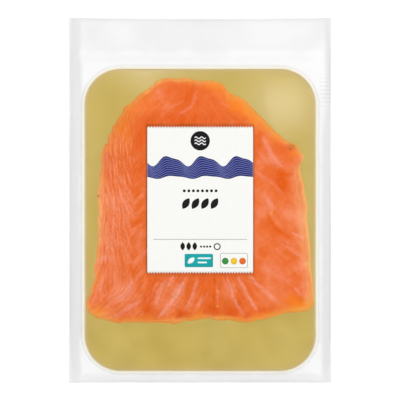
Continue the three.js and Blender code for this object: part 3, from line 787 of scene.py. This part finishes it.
rings, border = [], [0]
for inwards, height, worn in (  # the distance from the cut edge in mm, the share of the height, and wear
    (15, 1, 0), (4, 1, 0.1), (2.2, 1, 0.35), (0.8, 1, 1), (0.35, 1, 1), (0.1, 0.92, 1), (0, 0.75, 1),
    (0, 0.2, 1), (0.1, 0, 1), (15, 0, 0),
):
    ring = board_outline(-inwards)
    z = np.full(len(ring), board_low[2] + height * board_size[2])
    rings.append(np.column_stack([ring, z]))
    border += [worn] * len(ring)
points = np.vstack([
    [[*board_middle[:2], board_high[2]]], *rings, [[*board_middle[:2], board_low[2]]],
])
card_board = new_piece("gold_card_board", points, ring_faces(len(rings), len(rings[0])))
add_attribute(card_board, "border", border + [0])
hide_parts("board")
print("board", [round(v, 1) for v in board_size], "mm")

# %% [markdown]
# ## The film
#
# Under vacuum the film behaves like a stretched skin: it touches what sticks up and spans what
# lies lower. A cloth simulation could do that, but a quicker way gives the same shape. Every point
# of a grid is pulled to the mean of its neighbours again and again, and after each pull it is
# lifted back on top of the contents. What is left is a taut skin over the fish and the board.

# %% Find the height of what lies under the film
FILM = 0.09
FILM_GAP = 0.06  # mm between the film and what it lies on
half_width, half_height = box_of("pouch")[1][:2]
pouch_tree = BVHTree.FromObject(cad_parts["pouch"], bpy.context.evaluated_depsgraph_get())


def film_grid(cell):
    """A grid over the pouch, whose top edge dips a little in the middle."""
    columns, rows = int(2 * half_width / cell), int(2 * half_height / cell)
    u, v = np.meshgrid(np.linspace(-1, 1, columns + 1), np.linspace(-1, 1, rows + 1))
    return half_width * u, half_height * v - 0.7 * (1 - u**2) * smooth_step((v - 0.86) / 0.14)


def pouch_underside(x, y):
    """The height of the pouch solid's underside, which lies flat below the board and lifts at the margin."""
    heights = []
    inset = 0.997  # so that a ray at the very edge still hits the solid
    for at_x, at_y in zip(x.ravel() * inset, y.ravel() * inset):
        hit = pouch_tree.ray_cast(Vector((at_x * MM, at_y * MM, -0.01)), Vector((0, 0, 1)))[0]
        heights.append(hit.z / MM if hit else 0.0)
    return np.array(heights).reshape(x.shape)


def past_board(x, y):
    """The distance outside the board's edge, below zero on the board."""
    corner_x = np.maximum(abs(x - board_middle[0]) - board_size[0] / 2 + CORNER_RADIUS, 0)
    corner_y = np.maximum(abs(y - board_middle[1]) - board_size[1] / 2 + CORNER_RADIUS, 0)
    return np.hypot(corner_x, corner_y) - CORNER_RADIUS


film_x, film_y = film_grid(1.05)
underside = pouch_underside(film_x, film_y)
print("film grid", film_x.shape, "margin lifts up to", round(underside.max(), 2), "mm")

# %% Stretch the front film over the contents
PULLS = 31
contents = np.where(past_board(film_x, film_y) < 0.3, BOARD_TOP, underside + FILM)
contents = np.where(inside_of(lower_reach, film_x, film_y) > 0, lower_top(film_x, film_y), contents)
contents = np.where(inside_of(top_reach, film_x, film_y) > 0, upper_top(film_x, film_y), contents)
contents = contents + FILM_GAP


def neighbour_mean(height):
    """Each height of a grid as the mean of its four neighbours."""
    padded = np.pad(height, 1, mode="edge")
    return (padded[:-2, 1:-1] + padded[2:, 1:-1] + padded[1:-1, :-2] + padded[1:-1, 2:]) / 4


creases = 1 - abs(noise(film_x, film_y, 13, 61) + 0.35 * noise(film_x, film_y, 5, 62))
creases = 0.22 * creases**6 * smooth_step((past_board(film_x, film_y) - 1) / 4)
front = contents.copy()
for _ in range(PULLS):
    front = np.maximum(neighbour_mean(front), contents)
front = np.maximum(0.5 * front + 0.5 * neighbour_mean(front), contents) + creases
print("front film up to", round(front.max(), 2), "mm")


# %% Build the films as thin closed shells
def shell(name, x, y, lower, thickness):
    """A closed sheet: a grid of points underneath, one above it, and walls round the edge."""
    low = np.column_stack([x.ravel(), y.ravel(), lower.ravel()])
    high = low + [0, 0, thickness]
    index = np.arange(x.size).reshape(x.shape)
    a, b = index[:-1, :-1].ravel(), index[:-1, 1:].ravel()
    c, d = index[1:, 1:].ravel(), index[1:, :-1].ravel()
    under = np.column_stack([a, d, c, b])
    over = np.column_stack([a, b, c, d]) + x.size
    rim = np.concatenate([index[0, :-1], index[:-1, -1], index[-1, :0:-1], index[:0:-1, 0]])
    after = np.roll(rim, -1)
    walls = np.column_stack([rim, after, after + x.size, rim + x.size])
    return new_piece(name, np.vstack([low, high]), np.vstack([under, over, walls]).tolist())


def mark_film(piece, x, y):
    """Where the two films are welded, where they are ribbed, and how near the cut edge is.

    Each weld begins at its width in mm from the pouch's side or foot, and fades in over a few mm.
    """
    from_side = half_width - abs(x)
    mottle = noise(x, y, 15, 41) + 0.5 * noise(x, y, 5, 42)
    left_weld = (x < 0) * smooth_step((9.5 - from_side + mottle) / 3)
    left_weld = left_weld * (1 - 0.24 * smooth_step((from_side - 2) / 5))
    left_weld = left_weld * (1 + 0.07 * noise(x, y, 24, 43))
    right_width = 6.0 + 1.8 * smooth_step((62 - y) / 14)
    right_weld = (x > 0) * 0.88 * smooth_step((right_width - from_side + 0.7 * mottle) / 3)
    foot_weld = 0.52 * smooth_step((8 - (y + half_height) + 1.5 * mottle) / 4)
    above_board = y - board_high[1]
    head_weld = (0.18 + 0.14 * mottle) * smooth_step((above_board - 3) / 4)
    head_weld = head_weld + 0.15 * smooth_step((y - half_height + 24 + 1.5 * mottle) / 3)
    head_weld = head_weld + 0.5 * np.exp((y - half_height) / 1.3)
    to_rim = np.minimum(from_side, half_height - abs(y))
    ribs = smooth_step((9 - from_side) / 2) * (x > 0) * patch(0, y, 0, 72, 1, 13)
    for name, values in (
        ("weld", np.maximum.reduce([left_weld, right_weld, foot_weld, head_weld]) - 0.2 * ribs),
        ("ribs", ribs),
        ("cut_edge", smooth_step(1 - to_rim / 1.5)),
    ):
        add_attribute(piece, name, np.tile(np.clip(values, 0, 1).ravel(), 2))


front_film = shell("front_film", film_x, film_y, front, FILM)
mark_film(front_film, film_x, film_y)
back_x, back_y = film_grid(2.3)
back_film = shell("back_film", back_x, back_y, pouch_underside(back_x, back_y), FILM * 0.7)
mark_film(back_film, back_x, back_y)
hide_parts("pouch")
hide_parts("pouch")
print("films:", len(front_film.data.vertices), "and", len(back_film.data.vertices), "points")

# %% [markdown]
# ## The crease round the board
#
# Vacuum draws the film tight round the board's edge, and its fold there catches light and mirrors
# the gold. Both are painted: a pale band whose colour stands in for that light, with a painted
# reflection of the gold near the board. A line of colour on the film could show that, but the film's
# grid is too coarse for so thin a line. So the crease is a narrow band of its own, swept along the
# board's outline.

# %% Build the crease
CREASE = [  # the distance outside the board's edge and the height above the table, in mm
    (0.05, 0.75), (0.1, 0.85), (0.5, 0.75), (1.0, 0.58), (1.5, 0.4), (1.9, 0.26), (2.2, 0.15),
    (2.3, 0.11), (2.3, 0.085), (1.2, 0.085), (0.05, 0.085),
]
crease_width = max(away for away, _ in CREASE)
rings, outwards = [], []
for away, height in CREASE:
    ring = board_outline(away)
    rings.append(np.column_stack([ring, np.full(len(ring), height)]))
    outwards += [away / crease_width] * len(ring)
crease = new_piece("film_crease", np.vstack(rings), hoop_faces(len(rings), len(ring)))
add_attribute(crease, "outwards", outwards)
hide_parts("pouch")
print("crease:", crease_width, "mm wide,", len(crease.data.polygons), "faces")

# %% [markdown]
# ## The label
#
# The label is paper, cut from a roll between two toothed blades, so its two short ends have fine
# teeth and its long sides are straight. It is stiffer than the film and spans its small dips.

# %% Build the label
TOOTH = 1.2
PAPER = 0.14
LABEL_PULLS = 40
smooth_front = front.copy()
for _ in range(LABEL_PULLS):
    smooth_front = neighbour_mean(smooth_front)
on_label = (abs(film_x) < label_half[0]) & (abs(film_y - label_middle[1]) < label_half[1])
label_lift = (front - smooth_front)[on_label].max() + FILM + 0.03


def label_top(x, y):
    """The label's face: the film's height without its small dips, and the paper on it."""
    rows, columns = smooth_front.shape
    column, row = (x / half_width + 1) / 2 * (columns - 1), (y / half_height + 1) / 2 * (rows - 1)
    return between_cells(smooth_front, column, row) + label_lift + PAPER


columns, rows = 4 * TEETH, 60
s, t = np.meshgrid(np.linspace(-1, 1, columns + 1), np.linspace(-1, 1, rows + 1))
label_x = label_middle[0] + s * label_half[0]
label_y = label_middle[1] - 0.25 + t * (label_half[1] + 0.55 - TOOTH)
tooth = TOOTH * (1 - abs((np.arange(columns + 1) / 4) % 1 - 0.5) * 2)
label_y[0] -= tooth
label_y[-1] += tooth
label = shell("paper_label", label_x, label_y, label_top(label_x, label_y) - PAPER, PAPER)
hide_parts("label")
print("label", [round(2 * v, 1) for v in label_half], "mm, lifted", round(label_lift, 2), "mm")

# %% [markdown]
# ## The print
#
# Print is ink with almost no thickness. A picture could be wrapped on the label, but shapes stay
# sharp at any distance and need no picture file. Each field of colour is a very thin closed piece
# that lies on the paper: waves of the sea, a round emblem, dots and leaves in rows, and two small
# fields at the foot.

# %% Helpers for printed shapes
INK = 0.03  # mm, the thickness of one layer


class Ink:
    """Collects printed shapes of one colour and makes them one piece."""

    def __init__(self, name, colour):
        self.name, self.colour, self.points, self.faces, self.count = name, colour, [], [], 0

    def add(self, sets, layer, faces):
        """Point sets that lie on top of the ink, then point sets under it."""
        heights = [layer * INK] * (len(sets) // 2) + [0.005] * (len(sets) // 2)
        points = [np.column_stack([p, label_top(p[:, 0], p[:, 1]) + h]) for p, h in zip(sets, heights)]
        self.points += points
        self.faces += [[i + self.count for i in face] for face in faces]
        self.count += sum(len(p) for p in points)

    def field(self, loop, layer=1):
        """A filled shape whose outline can be seen from its middle."""
        middle = loop.mean(0)[None]
        self.add([middle, loop, loop, middle], layer, ring_faces(2, len(loop)))

    def strip(self, left, right, layer=1):
        """The area between two lines with the same number of points."""
        n = len(left)
        faces = []
        for k in range(4):
            a, b = k * n, (k + 1) % 4 * n
            faces += [[a + i, b + i, b + i + 1, a + i + 1] for i in range(n - 1)]
        faces += [[3 * n, 2 * n, n, 0], [n - 1, 2 * n - 1, 3 * n - 1, 4 * n - 1]]
        self.add([left, right, right, left], layer, faces)

    def stroke(self, line, width, layer=1):
        """A stripe along a line of points."""
        course = np.gradient(line, axis=0)
        side = np.column_stack([-course[:, 1], course[:, 0]]) / np.hypot(*course.T)[:, None] * width / 2
        self.strip(line + side, line - side, layer)

    def ring(self, centre, outer, inner, layer=1):
        """The area between two circles round one centre."""
        outside, within = disc(centre, outer), disc(centre, inner)
        self.add([outside, within, within, outside], layer, hoop_faces(4, len(outside)))

    def piece(self):
        return new_piece(self.name, np.vstack(self.points), self.faces)


def disc(centre, radius, steps=40):
    angle = np.linspace(0, 2 * math.pi, steps, endpoint=False)
    return np.array(centre) + radius * np.column_stack([np.cos(angle), np.sin(angle)])


def leaf(centre, length, width, turn):
    """A leaf with two pointed ends."""
    angle = np.linspace(0, 2 * math.pi, 40, endpoint=False)
    x, y = np.cos(angle) * length / 2, np.sin(angle) * abs(np.sin(angle)) * width / 2
    c, s = math.cos(math.radians(turn)), math.sin(math.radians(turn))
    return np.array(centre) + np.column_stack([x * c - y * s, x * s + y * c])


# %% The inks
black = Ink("print_black", paint(20, 20, 20))
navy = Ink("print_navy_sea", paint(38, 44, 108))
violet = Ink("print_violet_lines", paint(120, 128, 192))
teal = Ink("print_teal", paint(20, 166, 168))
grey = Ink("print_grey", paint(150, 152, 152))
white = Ink("print_white", paint(248, 249, 248))
green = Ink("print_green", paint(60, 140, 70))
yellow = Ink("print_yellow", paint(238, 195, 50))
orange = Ink("print_orange", paint(226, 110, 40))
inks = (black, navy, violet, teal, grey, white, green, yellow, orange)
print("inks:", len(inks))


# %% The sea
def sea_line(level):
    """A line of the sea, from its foot, 0, to its crests, 1."""
    x = np.linspace(-34.9, 34.9, 220)
    phase = 2 * math.pi * (x / 23.3 + 0.13 * level)
    crest = np.sin(phase) + 0.32 * np.sin(2 * phase + 0.7)
    return np.column_stack([x, 15.2 + 11.0 * level + (0.9 + 2.1 * level) * crest])


navy.strip(sea_line(1), sea_line(0))
for level in np.linspace(0.1, 0.9, 8):
    violet.stroke(sea_line(level), 0.34, layer=2)
print("points of the sea:", navy.count + violet.count)

# %% The emblem, and the rows of dots and leaves
black.field(disc((0, 39.3), 6.4))
for level in (-1.9, 0.1, 2.1):
    run = np.linspace(-3.7, 3.7, 30)
    white.stroke(np.column_stack([run, 39.2 + level + 0.6 * np.sin(run * 1.7)]), 0.62, layer=2)

for k in range(8):
    black.field(disc((3.0 * (k - 3.5), 6.2), 0.95, steps=24))
for k in range(4):
    black.field(leaf((6.3 * (k - 1.5), -2.2), 8.4, 4.4, 58))
for k in range(3):
    black.field(leaf((-11.6 + 4.0 * k, -30.5), 5.4, 3.0, 90))
for k in range(4):
    black.field(disc((0.6 + 2.0 * k, -30.7), 0.7, steps=20))
black.ring((11.2, -30.7), 2.3, 1.6)
grey.stroke(np.column_stack([np.linspace(-31, 31, 60), np.full(60, -25.9)]), 0.34)
print("points in black:", black.count)

# %% The two small fields at the foot
teal.field(round_rectangle(18.8, 8.8, 0.9, (-0.9, -39.9), corner_steps=6))
white.field(leaf((-6.0, -39.9), 6.0, 3.2, 40), layer=2)
for height, end in ((-38.4, 7.0), (-41.2, 4.4)):
    white.stroke(np.column_stack([np.linspace(-1.6, end, 12), np.full(12, height)]), 1.0, layer=2)
frame_line = round_rectangle(18, 9.6, 1.2, (22.3, -39.9), side_steps=6, corner_steps=6)
grey.stroke(np.vstack([frame_line, frame_line[:1]]), 0.3)
for ink, x in ((green, 16.6), (yellow, 22.3), (orange, 28.0)):
    ink.field(disc((x, -40.3), 2.2))

print_pieces = {ink.name: ink.piece() for ink in inks}
print("printed pieces:", len(print_pieces))

# %% [markdown]
# ## Materials
#
# All materials are made of nodes. Mottling, the cloudy unevenness that keeps a surface from
# looking like plastic, is used by several of them, so it is a node group: it puts out a mask from
# 0 to 1, and each material decides what the mask changes.

# %% A node group for mottling
def add_node(tree, kind, **values):
    node = tree.nodes.new(kind)
    for key, value in values.items():
        setattr(node, key, value)
    return node


def mottle_group():
    """Noise that is spread round the middle of the range by the contrast."""
    tree = bpy.data.node_groups.new("Mottling", "ShaderNodeTree")
    for name, default in (("Fineness", 200.0), ("Contrast", 1.0)):
        socket = tree.interface.new_socket(name, in_out="INPUT", socket_type="NodeSocketFloat")
        socket.default_value = default
    tree.interface.new_socket("Mask", in_out="OUTPUT", socket_type="NodeSocketFloat")
    entry, exit_node = add_node(tree, "NodeGroupInput"), add_node(tree, "NodeGroupOutput")
    place = add_node(tree, "ShaderNodeTexCoord")
    cloud = add_node(tree, "ShaderNodeTexNoise")
    cloud.inputs["Detail"].default_value = 4.0
    centred = add_node(tree, "ShaderNodeMath", operation="SUBTRACT")
    centred.inputs[1].default_value = 0.5
    spread = add_node(tree, "ShaderNodeMath", operation="MULTIPLY_ADD", use_clamp=True)
    spread.inputs[2].default_value = 0.5
    link = tree.links.new
    link(place.outputs["Object"], cloud.inputs["Vector"])
    link(entry.outputs["Fineness"], cloud.inputs["Scale"])
    link(cloud.outputs["Fac"], centred.inputs[0])
    link(centred.outputs["Value"], spread.inputs[0])
    link(entry.outputs["Contrast"], spread.inputs[1])
    link(spread.outputs["Value"], exit_node.inputs["Mask"])
    return tree


MOTTLING = mottle_group()


# %% Short names for the nodes that come again
def new_material(name, **settings):
    """A material with one Principled BSDF whose plain settings are given."""
    material = bpy.data.materials.new(name)
    material.use_nodes = True
    shader = material.node_tree.nodes["Principled BSDF"]
    for key, value in settings.items():
        shader.inputs[key.replace("_", " ")].default_value = value
    return material, material.node_tree, shader


def mottled(tree, fineness, contrast=3.0):
    """The mask of the mottling group, placed in a material with its own values."""
    node = add_node(tree, "ShaderNodeGroup", node_tree=MOTTLING)
    node.inputs["Fineness"].default_value = fineness
    node.inputs["Contrast"].default_value = contrast
    return node.outputs["Mask"]


def mix_colours(tree, factor, first, second):
    """Blends two colours, each a socket or a plain colour, by a socket."""
    mix = add_node(tree, "ShaderNodeMix", data_type="RGBA")
    tree.links.new(factor, mix.inputs["Factor"])
    for key, value in (("A", first), ("B", second)):
        socket = next(s for s in mix.inputs if s.name == key and s.type == "RGBA")
        if isinstance(value, tuple):
            socket.default_value = value
        else:
            tree.links.new(value, socket)
    return next(s for s in mix.outputs if s.type == "RGBA")


def scaled(tree, value, factor, offset=0.0):
    """The value times a factor, plus an offset, kept between 0 and 1."""
    node = add_node(tree, "ShaderNodeMath", operation="MULTIPLY_ADD", use_clamp=True)
    tree.links.new(value, node.inputs[0])
    node.inputs[1].default_value = factor
    node.inputs[2].default_value = offset
    return node.outputs["Value"]


def attribute(tree, name):
    return add_node(tree, "ShaderNodeAttribute", attribute_name=name).outputs["Fac"]


def bump(tree, shader, height, strength, distance):
    node = add_node(tree, "ShaderNodeBump")
    node.inputs["Strength"].default_value = strength
    node.inputs["Distance"].default_value = distance
    tree.links.new(height, node.inputs["Height"])
    tree.links.new(node.outputs["Normal"], shader.inputs["Normal"])


# %% [markdown]
# ## Flesh
#
# Smoked flesh is a deep, slightly see-through orange. Its colour comes from the maps that the mesh
# carries at its points: tone, fat, amber, and glow, where the slice ends so thin that it is almost
# the colour of the gold below, and whose smallest spots are painted highlights. Shade comes last
# and darkens what the others made; most of it is painted shade and painted shadow. One noise
# texture could mottle it all, but only the maps follow the strands and the seams. A little subsurface
# scattering lets light soak in. The flesh has hardly any gloss, as the clear film over it shines.

# %% Flesh material
PALE_FLESH, FLESH, DEEP_FLESH = paint(241, 143, 103), paint(230, 108, 45), paint(224, 88, 3)
FAT, AMBER, SHADED = paint(238, 162, 147), paint(245, 131, 28), paint(120, 52, 22)
GLOW, GOLDEN_GLOW = paint(242, 182, 110), paint(240, 162, 72)


def flesh_material():
    material, tree, shader = new_material("smoked_flesh", Roughness=0.42)
    shader.inputs["Specular IOR Level"].default_value = 0.05
    shader.inputs["Subsurface Weight"].default_value = 0.12
    shader.inputs["Subsurface Radius"].default_value = (1.0, 0.35, 0.15)
    shader.inputs["Subsurface Scale"].default_value = 0.002
    tone = attribute(tree, "tone")
    pale_side = mix_colours(tree, scaled(tree, tone, 2.0), PALE_FLESH, FLESH)
    flesh = mix_colours(tree, scaled(tree, tone, 2.0, -1.0), pale_side, DEEP_FLESH)
    cloudy = mix_colours(tree, scaled(tree, mottled(tree, 420), 0.1), flesh, PALE_FLESH)
    marbled = mix_colours(tree, scaled(tree, attribute(tree, "fat"), 0.8), cloudy, FAT)
    amber = attribute(tree, "amber")
    thin = mix_colours(tree, scaled(tree, amber, 0.8), marbled, AMBER)
    glow = mix_colours(tree, amber, GLOW, GOLDEN_GLOW)
    glowing = mix_colours(tree, attribute(tree, "glow"), thin, glow)
    shaded = mix_colours(tree, attribute(tree, "shade"), glowing, SHADED)
    tree.links.new(shaded, shader.inputs["Base Color"])
    bump(tree, shader, mottled(tree, 1500), 0.25, 0.00012)
    return material


flesh = flesh_material()
for piece in slices.values():
    piece.data.materials.append(flesh)
print("flesh nodes:", len(flesh.node_tree.nodes))

# %% [markdown]
# ## Gold card
#
# The face of the board is foil glued on card and lacquered. Pure metal would mirror the dark sky
# overhead and look brown, so the foil is only a little metallic, with a clear coat over it for the
# sheen. The mottling varies its colour, its roughness and the coat, and the cut border is worn
# pale. The back and the cut edge's lower part are bare card.

# %% Gold card material
GOLD, PALE_GOLD, WORN_GOLD = paint(206, 179, 88), paint(210, 185, 99), paint(207, 184, 124)
CARD, WORN_CARD = paint(224, 216, 198), paint(212, 202, 180)


def card_material():
    material, tree, shader = new_material("gold_foil_card", Roughness=0.4, Metallic=0.25)
    shader.inputs["Coat Roughness"].default_value = 0.115
    tree.links.new(scaled(tree, mottled(tree, 40), 0.3, 0.6), shader.inputs["Coat Weight"])
    foil = mix_colours(tree, mottled(tree, 22, contrast=4.0), GOLD, PALE_GOLD)
    colour = mix_colours(tree, scaled(tree, attribute(tree, "border"), 0.8), foil, WORN_GOLD)
    tree.links.new(colour, shader.inputs["Base Color"])
    tree.links.new(scaled(tree, mottled(tree, 60), 0.16, 0.34), shader.inputs["Roughness"])
    bump(tree, shader, mottled(tree, 700), 0.15, 0.00005)
    return material


def bare_card_material():
    material, tree, shader = new_material("bare_card", Roughness=0.8)
    colour = mix_colours(tree, mottled(tree, 300), CARD, WORN_CARD)
    tree.links.new(colour, shader.inputs["Base Color"])
    return material


card_board.data.materials.append(card_material())
card_board.data.materials.append(bare_card_material())
foil_from = board_low[2] + 0.3 * board_size[2]
for polygon in card_board.data.polygons:
    polygon.material_index = 1 if polygon.center.z / MM < foil_from else 0
print("foil above", round(foil_from, 2), "mm")

# %% [markdown]
# ## Clear film
#
# A clear film lets almost all light through, takes a little away, and mirrors the room faintly,
# more so at a low angle. Glass would bend light and slow the render down, and a sheet this thin
# bends none. So the film mixes a Transparent shader with a glossy one by a Fresnel factor, and
# adds haze where the two films are welded. Only the outer side of each sheet is glossy, because
# Fresnel seen from inside the sheet would mirror everything at a slant.

# %% Film material
CLEAR, WELDED, CUT = (1.0, 1.0, 1.0, 1), (0.976, 0.976, 0.977, 1), (0.958, 0.959, 0.96, 1)
RIB_PITCH = 0.00266  # metres from one rib of the weld to the next
WAVE_TURN = 20  # a wave texture runs through this many radians for each metre and unit of scale


def product(tree, first, second, added=None):
    """First times second, plus a third socket if one is given."""
    node = add_node(tree, "ShaderNodeMath", operation="MULTIPLY_ADD" if added else "MULTIPLY")
    for value, socket in zip((first, second, added), node.inputs):
        if value is not None:
            tree.links.new(value, socket)
    return node.outputs["Value"]


def film_material():
    material, tree, haze = new_material("clear_film", Roughness=0.6)
    haze.inputs["Base Color"].default_value = paint(250, 250, 250)
    link = tree.links.new
    ribs = add_node(tree, "ShaderNodeTexWave", bands_direction="Y")
    ribs.inputs["Scale"].default_value = 2 * math.pi / WAVE_TURN / RIB_PITCH
    link(add_node(tree, "ShaderNodeTexCoord").outputs["Object"], ribs.inputs["Vector"])
    rib_height = scaled(tree, ribs.outputs["Fac"], 0.4)
    weld = product(tree, attribute(tree, "ribs"), rib_height, attribute(tree, "weld"))
    clear = add_node(tree, "ShaderNodeBsdfTransparent")
    shade = mix_colours(tree, weld, CLEAR, WELDED)
    link(mix_colours(tree, attribute(tree, "cut_edge"), shade, CUT), clear.inputs["Color"])
    outer_side = scaled(tree, add_node(tree, "ShaderNodeNewGeometry").outputs["Backfacing"], -1.0, 1.0)
    fresnel = add_node(tree, "ShaderNodeFresnel")
    fresnel.inputs["IOR"].default_value = 1.2
    mirror = add_node(tree, "ShaderNodeBsdfAnisotropic")
    mirror.inputs["Roughness"].default_value = 0.15
    bump(tree, mirror, mottled(tree, 110, contrast=2.0), 0.12, 0.0003)
    hazy, film_mix = add_node(tree, "ShaderNodeMixShader"), add_node(tree, "ShaderNodeMixShader")
    link(product(tree, scaled(tree, weld, 0.04), outer_side), hazy.inputs["Fac"])
    link(clear.outputs["BSDF"], hazy.inputs[1])
    link(haze.outputs["BSDF"], hazy.inputs[2])
    link(product(tree, fresnel.outputs["Fac"], outer_side), film_mix.inputs["Fac"])
    link(hazy.outputs["Shader"], film_mix.inputs[1])
    link(mirror.outputs["BSDF"], film_mix.inputs[2])
    link(film_mix.outputs["Shader"], tree.nodes["Material Output"].inputs["Surface"])
    return material


def crease_material():
    """Film round the board, pale as painted light caught by its fold, with a painted reflection of the gold
    near the board.
    """
    material, tree, shader = new_material("crease_painted_light", Roughness=0.6, Specular_IOR_Level=0.2)
    away = attribute(tree, "outwards")
    # painted reflection of the gold near the board, fading out to the pale painted light of the fold
    colour = mix_colours(tree, away, paint(234, 221, 194), paint(239, 240, 236))
    colour = mix_colours(tree, scaled(tree, mottled(tree, 300), 0.25), colour, paint(241, 236, 220))
    tree.links.new(colour, shader.inputs["Base Color"])
    return material


film = film_material()
front_film.data.materials.append(film)
back_film.data.materials.append(film)
crease.data.materials.append(crease_material())
print("film nodes:", len(film.node_tree.nodes))


# %% [markdown]
# ## Paper and ink
#
# The paper is matt and almost white, with a fine grain that a bump gives it. Ink soaks into paper
# unevenly and keeps hardly any gloss. One function makes a material for each ink, from its colour
# and a duller shade of it, so that all the inks look like ink from one press.

# %% Paper and ink materials
def paper_material():
    material, tree, shader = new_material("label_paper", Roughness=0.62)
    colour = mix_colours(tree, mottled(tree, 500), paint(237, 237, 233), paint(235, 235, 231))
    tree.links.new(colour, shader.inputs["Base Color"])
    bump(tree, shader, mottled(tree, 2500), 0.2, 0.00003)
    return material


def ink_material(ink):
    material, tree, shader = new_material("ink_" + ink.name, Roughness=0.6, Specular_IOR_Level=0.1)
    duller = tuple(0.9 * c + 0.006 for c in ink.colour[:3]) + (1.0,)
    tree.links.new(mix_colours(tree, mottled(tree, 900), ink.colour, duller), shader.inputs["Base Color"])
    return material


label.data.materials.append(paper_material())
for ink in inks:
    print_pieces[ink.name].data.materials.append(ink_material(ink))
print("materials:", len(bpy.data.materials))

# %% [markdown]
# ## Studio
#
# The pack lies on a white table and is seen from straight above through a long lens, as a product
# photographer would set it up. A film mirrors whatever is above it, so the sky is bright round the
# sides and dim overhead, where it would lay a grey veil on the fish. Two large soft lights stand at
# the sides. Two small ones close to the line of sight lay gleams on the upper part of the board,
# and a broad weak one lays a thin veil over its upper right.

# %% Floor
floor_mesh = bpy.data.meshes.new("floor")
floor_mesh.from_pydata([(-6, -6, 0), (6, -6, 0), (6, 6, 0), (-6, 6, 0)], [], [(0, 1, 2, 3)])
floor = bpy.data.objects.new("floor", floor_mesh)
floor.location.z = -0.0002
bpy.context.scene.collection.objects.link(floor)
floor_material, _, floor_shader = new_material("white_table", Roughness=0.9)
floor_shader.inputs["Base Color"].default_value = (0.985, 0.985, 0.985, 1)
floor_shader.inputs["Specular IOR Level"].default_value = 0.0
floor_mesh.materials.append(floor_material)
print("floor at", round(1000 * floor.location.z, 2), "mm")

# %% Sky
SIDE_SKY, OVERHEAD_SKY = 1.04, 0.12
SKY_BLEND = (0.72, 0.96)  # how steeply a direction points up where the sky begins and ends to dim
world = bpy.data.worlds.new("studio")
world.use_nodes = True
sky = world.node_tree
direction = add_node(sky, "ShaderNodeTexCoord")
parts = add_node(sky, "ShaderNodeSeparateXYZ")
height = add_node(sky, "ShaderNodeMapRange", interpolation_type="SMOOTHSTEP")
sky.links.new(direction.outputs["Generated"], parts.inputs["Vector"])
sky.links.new(parts.outputs["Z"], height.inputs["Value"])
for key, value in zip(("From Min", "From Max", "To Min", "To Max"), (*SKY_BLEND, SIDE_SKY, OVERHEAD_SKY)):
    height.inputs[key].default_value = value
sky.nodes["Background"].inputs["Color"].default_value = (1, 1, 1, 1)
sky.links.new(height.outputs["Result"], sky.nodes["Background"].inputs["Strength"])
bpy.context.scene.world = world
print("sky from", SIDE_SKY, "at the sides to", OVERHEAD_SKY, "overhead")


# %% Lights
def soft_light(name, place, target, size, power):
    """A round area light at a place in metres, turned towards a target."""
    data = bpy.data.lights.new(name, "AREA")
    data.shape, data.size, data.energy = "DISK", size, power
    light = bpy.data.objects.new(name, data)
    light.location = place
    aim = Vector(target) - Vector(place)
    light.rotation_euler = aim.to_track_quat("-Z", "Y").to_euler()
    bpy.context.scene.collection.objects.link(light)


GLEAM_HEIGHT = 1.05
MIRROR_SHARE = 0.588  # the camera sees a light's gleam at this share of the light's own x and y
soft_light("left_box", (-1.0, 0.15, 1.0), (0, 0, 0), 0.7, 4.95)
soft_light("right_box", (1.0, 0.15, 1.0), (0, 0, 0), 0.7, 5.4)
for name, x, y, size, power in (
    ("broad_gleam", 0.094, 0.108, 0.04, 0.065), ("faint_gleam", -0.058, 0.15, 0.04, 0.045),
    ("veil", 0.14, 0.26, 0.5, 0.09),
):
    soft_light(name, (x, y, GLEAM_HEIGHT), (MIRROR_SHARE * x, MIRROR_SHARE * y, 0), size, power)
print("lights:", len(bpy.data.lights))

# %% Camera
CAMERA_HEIGHT = 1.5
PICTURE_WIDTH = 0.2658  # metres that the picture is wide, at the table
camera_data = bpy.data.cameras.new("camera")
camera_data.lens = camera_data.sensor_width * CAMERA_HEIGHT / PICTURE_WIDTH
camera = bpy.data.objects.new("camera", camera_data)
camera.location = (-0.00013, 0.00013, CAMERA_HEIGHT)
bpy.context.scene.collection.objects.link(camera)
bpy.context.scene.camera = camera
bpy.context.scene.view_settings.view_transform = "Standard"
print("lens:", round(camera_data.lens), "mm")
